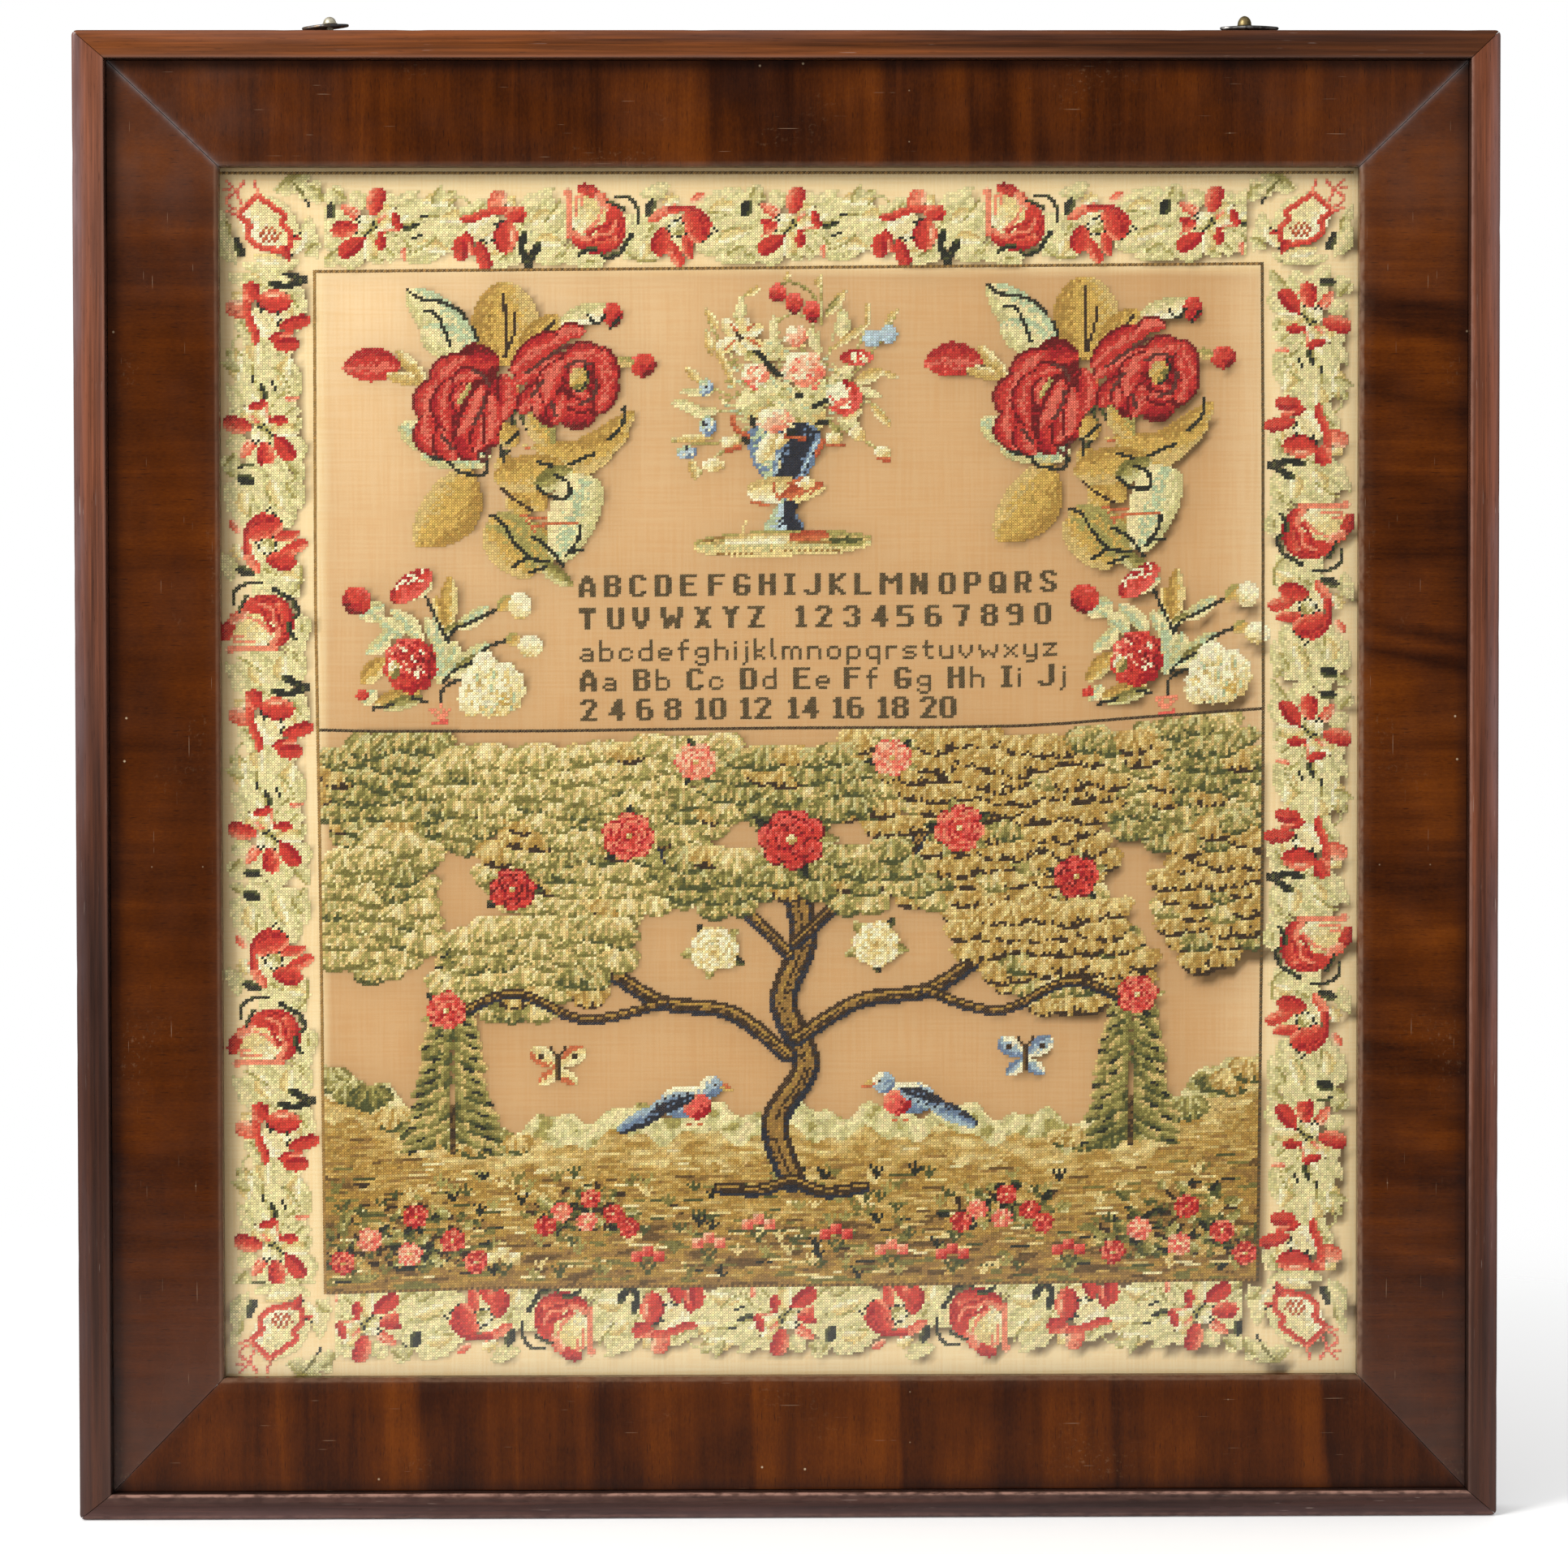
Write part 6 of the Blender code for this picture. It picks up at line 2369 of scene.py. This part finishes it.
                level = down + 1.45 * size * math.sin(angle)
                tip = self.at(across + 1.55 * size * math.cos(angle), level)
                shades = yarns("DARK_LEAF" if turn % 2 else "OLIVE_LEAF")
                self.chart.blade(self.at(across, down), tip, size * 0.6, shades)
            self.rose(across, down, size, yarns(names), 90 + index)
        self.bird(-38, 142, 1)
        self.bird(42, 141, -1)
        self.butterfly(-84, 128, yarns("BRICK STRAW CREAM"))
        self.butterfly(84, 126, yarns("SLATE MIST IVORY"))
        bushes = ((-74, 192, 15), (76, 192, 15), (-138, 206, 24), (140, 206, 24))
        for index, (across, foot, size) in enumerate(bushes):
            self.bush(across, foot, size, 101 + index)
        buds = (
            (-30, 203), (-12, 196), (16, 200), (36, 206),
            (-52, 208), (58, 208), (-104, 208), (100, 207),
        )
        for across, foot in buds:
            for lean in (-4, 0, 4):
                tip = self.at(across + lean, foot - 9 + abs(lean) * 0.5)
                self.chart.stroke([self.at(across, foot), tip], 1.0, yarns("FOREST"))
                names = ("PINKS", "LIGHT_REDS", "CREAMS")[abs(across) % 3]
                self.chart.disc(tip, (2.4, 2.2), yarns(names))


# ---------------------------------------------------------------- cloth and stitches


def cockle(across: Array, up: Array) -> Array:
    """Gives how far the stretched cloth stands off its middle plane, in metres.

    Three slow waves of 0.10, 0.05 and 0.03 mm are added.

    Args:
        across: places over the cloth's width, from -0.5 to 0.5.
        up: places over its height, from -0.5 to 0.5.

    Returns:
        The height at each place.
    """
    slow = 0.55 * np.sin(7.0 * across + 2.2 * up + 0.6)
    middle = 0.30 * np.sin(3.1 * across - 8.4 * up + 1.9)
    return 0.00018 * (slow + middle + 0.15 * np.sin(15 * across + 11 * up))


@dataclass
class Embroidery:
    """The charted design, set out on the opening and worked in crosses of yarn.

    The counted cloth isn't stretched quite square. sunk says how many rows too low the upper
    line, the line between the panels and the lower line lie, at some columns, and levels says
    where those three are. drawn says how many columns too far right the left and the right
    line lie, at the rows in stations.
    """

    sizes: FrameSizes
    columns: int = 404
    rows: int = 453
    cloth_front: float = 0.0094
    legs: tuple[tuple[float, tuple[float, ...], tuple[float, ...], tuple[float, ...]], ...] = (
        (1, (-1, 1), (0.00034, 0.00034), (0.00012, 0.00012)),
        (-1, (-1, 0, 1), (0.00021, 0.00043, 0.00021), (0.00004, 0.00034, 0.00004)),
    )
    most_in_piece: int = 32000
    levels: tuple[int, ...] = (0, PANEL_TOP - 1, DIVIDER, PANEL_BOTTOM)
    sunk: tuple[tuple[tuple[float, ...], tuple[float, ...]], ...] = (
        ((35, 371), (0.8, -2.0)),
        (
            (35, 55, 115, 200, 257, 286, 300, 329, 371, 380),
            (1.5, 2.1, 2.0, 1.0, 0.9, 0.3, -0.5, -2.9, -6.0, -3.2),
        ),
        ((42, 96, 240, 354), (0.6, -1.1, -1.9, -3.3)),
    )
    stations: tuple[int, ...] = (40, 100, 160, 208, 240, 300, 350, 420)
    drawn: tuple[tuple[float, ...], ...] = (
        (-1.4, -1.5, -1.55, -0.95, -0.5, 0.05, 0.35, 0.95),
        (-1.2, -0.85, -0.75, -0.6, -0.7, -1.1, -1.6, -2.4),
    )
    chart: Chart = field(init=False)
    left: float = field(init=False)
    top: float = field(init=False)
    size: Pair = field(init=False)
    pitch: Pair = field(init=False)

    def __post_init__(self) -> None:
        """Measures the opening and stitches every motif on the chart."""
        sizes = self.sizes
        self.left, self.top = sizes.left + sizes.sight["left"], sizes.top - sizes.sight["top"]
        right, bottom = sizes.right - sizes.sight["right"], sizes.bottom + sizes.sight["bottom"]
        self.size = (right - self.left, self.top - bottom)
        self.pitch = (self.size[0] / self.columns, self.size[1] / self.rows)
        self.chart = Chart(self.columns, self.rows)
        FlowerBorder(self.chart).stitch()
        panel = Chart(PANEL_RIGHT - PANEL_LEFT, PANEL_BOTTOM - DIVIDER - 1)
        LifeTree(panel).stitch()
        self.chart.stamp(panel, PANEL_LEFT, DIVIDER + 1)
        roses = ROSE_LEAVES + LEFT_ROSE + RIGHT_ROSE
        for rows, shift in (
            (roses, (-0.3, -1.2)), (CARNATIONS, (-0.8, -4.0)), (roses, (206.1, -1.3)),
            (CARNATIONS, (257.9, -1.8)), (SPRIGS + URN + BOUQUET, (0.0, -2.0)),
        ):
            Needle(self.chart, shift).work(rows)
        LetterRows(self.chart).stitch()
        Rules(self.chart).stitch()

    def placed(self, column: Array, row: Array) -> tuple[Array, Array]:
        """Gives x and z of places on the chart, on the cloth as it is stretched.

        Args:
            column: how far right of the chart's left edge the places lie.
            row: how far below its upper edge.

        Returns:
            x and z of each place.
        """
        sunk = 0.0
        for near, (columns, rows) in zip(((0, 1, 0, 0), (0, 0, 1, 0), (0, 0, 0, 1)), self.sunk):
            sunk = sunk + np.interp(row, self.levels, near) * np.interp(column, columns, rows)
        left, right = (np.interp(row, self.stations, drawn) for drawn in self.drawn)
        drawn = left + (right - left) * (column - PANEL_LEFT) / (PANEL_RIGHT - PANEL_LEFT)
        return self.left + (column + drawn) * self.pitch[0], self.top - (row + sunk) * self.pitch[1]

    def front(self, x: Array, z: Array) -> Array:
        """Gives how far the cloth's front stands out from the wall at x and z."""
        across, up = (x - self.left) / self.size[0] - 0.5, (z - self.top) / self.size[1] + 0.5
        return self.cloth_front + cockle(across, up)

    def cover(self, blur: int) -> Array:
        """Gives how thickly the chart is stitched round each cell, from 0 to 1.

        It is the mean over a box twice as wide and high as blur, taken twice.

        Args:
            blur: half the box's size.

        Returns:
            The share for each cell of the chart.
        """
        cover = (self.chart.cells > 0).astype(float)
        for axis in (0, 1, 0, 1):
            pad = [(0, 0), (0, 0)]
            pad[axis] = (blur, blur - 1)
            total = np.cumsum(np.pad(cover, pad, mode="edge"), axis=axis)
            size = cover.shape[axis]
            total = np.insert(total, 0, 0, axis=axis)
            high = total.take(range(2 * blur, 2 * blur + size), axis=axis)
            cover = (high - total.take(range(size), axis=axis)) / (2 * blur)
        return cover

    def stitches(self, rows: Array, columns: Array, name: str) -> Object:
        """Works one piece of the chart in crosses of two yarn legs.

        The lower leg is a flat ribbon. The upper one passes over it: a ribbon of three cross
        sections, narrow and low where it goes through the cloth, wide and high in its middle.

        Args:
            rows: each stitch's row.
            columns: each stitch's column.
            name: the piece's name.

        Returns:
            The piece, with each stitch's colour and its maps.
        """
        lot = np.random.default_rng(len(rows))
        count = len(rows)
        threads = np.array([linear(thread.value) for thread in Thread])
        colour = threads[self.chart.cells[rows, columns] - 1]
        fade = 1 + 0.13 * lot.standard_normal((count, 1)) + 0.02 * lot.standard_normal((count, 3))
        colour = np.clip(colour * fade, 0, 1)
        middle = np.stack(self.placed(columns + 0.5, rows + 0.5), axis=-1)
        middle = (middle + lot.uniform(-0.045, 0.045, (count, 2)) * self.pitch)[:, None]
        points = []
        for slope, share, width, height in self.legs:
            reach = np.array(self.pitch) * (0.49, 0.49 * slope)
            normal = np.array((-reach[1], reach[0])) / np.hypot(*reach)
            width = np.array(width) * lot.uniform(0.92, 1.08, (count, 1))
            centre, aside = middle + reach * np.array(share)[:, None], normal * width[..., None]
            sides = np.stack([centre - aside, centre + aside], axis=2)
            height = np.array(height) * (1 + 0.08 * lot.standard_normal((count, 1)))
            out = self.front(sides[..., 0], sides[..., 1]) + height[..., None]
            points.append(np.stack([sides[..., 0], -out, sides[..., 1]], axis=-1))
        block = np.concatenate(points, axis=1)
        quads = np.array([(2, 3, 1, 0), (6, 7, 5, 4), (8, 9, 7, 6)])
        faces = (quads[None] + np.arange(count)[:, None, None] * 10).reshape(-1, 4)
        piece = new_mesh(name, block.reshape(-1, 3), faces)
        along = np.array((0, 0, 1, 1, 0, 0, 0.5, 0.5, 1, 1))
        corner = np.tile(quads, (count, 1)).reshape(-1)
        add_uv(piece, "yarn", np.stack([corner % 2, along[corner]], axis=-1))
        flat = block.reshape(-1, 3)[faces.ravel()][:, (0, 2)]
        add_uv(piece, "OFBake", (flat - (self.left, self.top)) / self.size + (0, 1))
        add_colours(piece, "wool", np.repeat(colour, 10, axis=0))
        return piece

    def build(self, finish: WoolFinish) -> None:
        """Works the whole chart, in bands of rows with few enough stitches for one piece.

        Args:
            finish: the yarn's finish.
        """
        rows, columns = np.nonzero(self.chart.cells)
        material = finish.material()
        pieces = math.ceil(len(rows) / self.most_in_piece)
        for index, part in enumerate(np.array_split(np.arange(len(rows)), pieces)):
            piece = self.stitches(rows[part], columns[part], f"stitches_{index + 1}")
            dress(piece, material)
            seat(piece, "cloth")
        LOG.info("%d stitches in %d pieces", len(rows), pieces)


@dataclass
class SamplerCloth:
    """The stretched ground cloth, one closed sheet that reaches into the rebate."""

    embroidery: Embroidery
    thickness: float = 0.0009
    grid: tuple[int, int] = (160, 168)
    ground: Colour = (213, 169, 122)
    # painted light: paler in the upper left, towards the lamp, and along the right line
    painted_glow: Colour = (250, 217, 174)
    border: Colour = (248, 221, 176)
    # shade and holes are painted shade: darker near the stitching and in the gaps between close
    # stitches
    shade: Colour = (140, 104, 66)
    holes: Colour = (78, 58, 34)
    # painted shadow of the frame's lip along the upper and left edges
    lip_shadow: Colour = (172, 142, 106)

    def tones(self, x: Array, z: Array) -> Array:
        """Gives the cloth's linear colour at x and z.

        It is palest in the upper left and along the right line, a painted light, creamy in the
        border, darker by the upper and left edges with the painted shadow of the frame's lip,
        darker close to the stitching, from threads carried behind and painted shade, and darkest
        in the holes between close stitches, in painted shade.

        Args:
            x: places across.
            z: places up.

        Returns:
            One linear colour for each place.
        """
        work = self.embroidery
        column = (x - work.left) / work.pitch[0]
        row = (work.top - z) / work.pitch[1]
        down, right = row / work.rows, column / work.columns

        def blend(base: Array, colour: Colour, share: Array) -> Array:
            """Mixes a colour in by a share."""
            return base + (np.array(linear(colour)) - base) * share[..., None]

        tone = np.broadcast_to(linear(self.ground), (*x.shape, 3))
        # painted light: paler in the upper left and along the right line
        tone = blend(tone, self.painted_glow, np.exp(-((right / 0.40) ** 2) - (down / 0.30) ** 2))
        tone = blend(tone, self.painted_glow, 0.5 * np.exp(-(((PANEL_RIGHT - column) / 13) ** 2)))
        beside = np.minimum(column - PANEL_LEFT - 1, PANEL_RIGHT - column)
        inner = np.minimum(beside, np.minimum(row - PANEL_TOP, PANEL_BOTTOM - 1 - row))
        outside = np.clip(0.5 - inner / 4, 0, 1)
        tone = blend(tone, self.border, outside)
        near, wide = (self._read(work.cover(size), column, row) for size in (2, 7))
        # darker close to and across the stitching: threads carried behind and painted shade
        tone = blend(tone, self.shade, np.clip(near**3 * 0.3 + wide * 0.34 * (1 - outside), 0, 0.7))
        # painted shade in the holes between close stitches
        tone = blend(tone, self.holes, np.clip((near - 0.68) / 0.28, 0, 1) * 0.85)
        # painted shadow of the frame's lip by the upper and left edges
        edge = np.minimum(column * 1.3, row * 2.2)
        return blend(tone, self.lip_shadow, np.clip(1 - edge / 6, 0, 1) * 0.7)

    def _read(self, field_: Array, column: Array, row: Array) -> Array:
        """Reads the chart's values at places that may lie outside it.

        Args:
            field_: one value for each cell of the chart.
            column: the places' columns.
            row: their rows.

        Returns:
            The value at each place.
        """
        down = np.clip(row.astype(int), 0, field_.shape[0] - 1)
        across = np.clip(column.astype(int), 0, field_.shape[1] - 1)
        return field_[down, across]

    def build(self, finish: CanvasFinish) -> Object:
        """Builds the sheet: a front and a back grid over the cloth's outline, joined all round.

        Both follow the slow cockle, and the outline wanders by half a millimetre.

        Args:
            finish: the canvas finish.

        Returns:
            The cloth.
        """
        low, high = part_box("sampler_cloth")
        columns, rows = self.grid
        across, up = np.meshgrid(np.linspace(-0.5, 0.5, columns), np.linspace(-0.5, 0.5, rows))
        width, height = high.x - low.x - 0.0012, high.z - low.z - 0.0012
        wander = 0.0006 * 2 * across * np.sin(19 * up + 0.8)
        climb = 0.0006 * 2 * up * np.sin(17 * across + 2.0)
        x = (low.x + high.x) / 2 + across * width + wander
        z = (low.z + high.z) / 2 + up * height + climb
        front = self.embroidery.front(x, z)
        outs = (front, front - self.thickness)
        layers = [np.stack([x, -out, z], axis=-1).reshape(-1, 3) for out in outs]
        face = grid_faces(rows, columns)
        count = rows * columns
        index = np.arange(count).reshape(rows, columns)
        rim = np.concatenate([index[0, :-1], index[:-1, -1], index[-1, :0:-1], index[:0:-1, 0]])
        following = np.roll(rim, -1)
        edge = np.stack([following, rim, rim + count, following + count], axis=-1)
        faces = np.concatenate([face, face[:, ::-1] + count, edge])
        cloth = new_mesh("ground_cloth", np.concatenate(layers), faces)
        add_colours(cloth, "tone", np.tile(self.tones(x, z).reshape(-1, 3), (2, 1)))
        dress(cloth, finish.material())
        seat(cloth, "cloth", "sampler_cloth")
        return cloth


# ---------------------------------------------------------------- studio


@dataclass
class Studio:
    """White backdrop, pale floor, one broad soft light and the photo's camera."""

    floor: float
    camera_at: Colour = (-0.0205, -2.0, -0.2810)
    camera_turn: Colour = (88.595, 0.082, -0.537)
    lens: float = 92.04
    light_from: Colour = (-1.75, -1.75, 1.15)
    light_to: Colour = (0.0, 0.0, -0.33)
    light_size: float = 1.0
    light_power: float = 78.0
    fill: float = 0.96
    mirrored: float = 0.05

    def camera(self) -> None:
        """Sets up the camera as the photo's pose was worked out from the frame's corners."""
        data = bpy.data.cameras.new("camera")
        data.lens, data.sensor_width = self.lens, 36.0
        camera = show("camera", data)
        camera.location = self.camera_at
        camera.rotation_euler = [math.radians(turn) for turn in self.camera_turn]
        bpy.context.scene.camera = camera

    def lights(self) -> None:
        """Hangs one broad light up to the left, in a white room."""
        data = bpy.data.lights.new("window", "AREA")
        data.shape, data.energy = "RECTANGLE", self.light_power
        data.size = data.size_y = self.light_size
        data.color = (1.0, 0.985, 0.96)
        light = show("window", data)
        light.location = self.light_from
        way = np.array(self.light_to) - self.light_from
        slope = math.atan2(math.hypot(way[0], way[1]), -way[2])
        light.rotation_euler = (slope, 0, math.atan2(way[1], way[0]) - math.pi / 2)
        world = bpy.data.worlds.new("room")
        world.use_nodes = True
        tree = world.node_tree
        back = tree.nodes["Background"]
        rays = tree.nodes.new("ShaderNodeLightPath")
        strength = None
        for ray, level in (("Is Glossy Ray", self.mirrored), ("Is Camera Ray", 1.0)):
            step = tree.nodes.new("ShaderNodeMapRange")
            step.inputs["To Min"].default_value = self.fill
            step.inputs["To Max"].default_value = level
            tree.links.new(rays.outputs[ray], step.inputs["Value"])
            if strength is not None:
                tree.links.new(strength, step.inputs["To Min"])
            strength = step.outputs["Result"]
        tree.links.new(strength, back.inputs["Strength"])
        back.inputs["Color"].default_value = (1, 1, 1, 1)
        bpy.context.scene.world = world
        bpy.context.scene.view_settings.view_transform = "Standard"

    def stage(self) -> None:
        """Lays a pale floor disc just under the frame, faded out round it."""
        turn = np.linspace(0, 2 * math.pi, 72, endpoint=False)
        radius = np.linspace(0.02, 1.6, 12)[:, None]
        x, y = radius * np.cos(turn), radius * np.sin(turn)
        points = np.stack([x, y, np.full_like(x, self.floor)], axis=-1).reshape(-1, 3)
        faces = grid_faces(*x.shape, closed=True)[:, ::-1].tolist()
        near = list(range(len(turn)))
        faces += [(after, before, x.size) for before, after in zip(near, near[1:] + near[:1])]
        mesh = bpy.data.meshes.new("floor")
        mesh.from_pydata([*points.tolist(), (0, 0, self.floor)], [], faces)
        floor = show("floor", mesh)
        g = Graph("pale_floor")
        away = g.add("VectorMath", {0: g.place()}, operation="LENGTH").outputs["Value"]
        g.finish((0.93, 0.93, 0.93), 0.9)
        clear = g.add("BsdfTransparent", {})
        share = g.fade(away, 0.55, 1.45)
        mixed = g.add("MixShader", {0: share, 1: g.shader.outputs[0], 2: clear.outputs[0]})
        g.plug(g.output.inputs["Surface"], mixed.outputs[0])
        dress(floor, g.material)
        floor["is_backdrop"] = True

    def build(self) -> None:
        """Sets up floor, lights and camera."""
        self.stage()
        self.lights()
        self.camera()


def write_sizes() -> None:
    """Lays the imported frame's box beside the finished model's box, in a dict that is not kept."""

    def plain(box: object) -> list[list[float]]:
        """Turns a box's two corners into lists of numbers."""
        return [[float(x) for x in corner] for corner in box]

    {"cad": plain(CAD_BOX), "visual": plain(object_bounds())}


def main() -> None:
    """Builds the frame, then cloth, stitches, glass and board, and last the studio."""
    logging.basicConfig(level=logging.INFO, format="%(name)s: %(message)s")
    sizes = FrameSizes()
    WoodenFrame(sizes).build()
    for hanger in HANGERS:
        hanger.build(sizes.top)
    embroidery = Embroidery(sizes)
    SamplerCloth(embroidery).build(CanvasFinish())
    embroidery.build(WoolFinish())
    for node, finish in (("glass_pane", GlassFinish()), ("backboard", BoardFinish())):
        dress(bpy.data.objects[node], finish.material())
    Studio(floor=sizes.bottom - 0.0003).build()
    write_sizes()


if __name__ == "__main__":
    main()
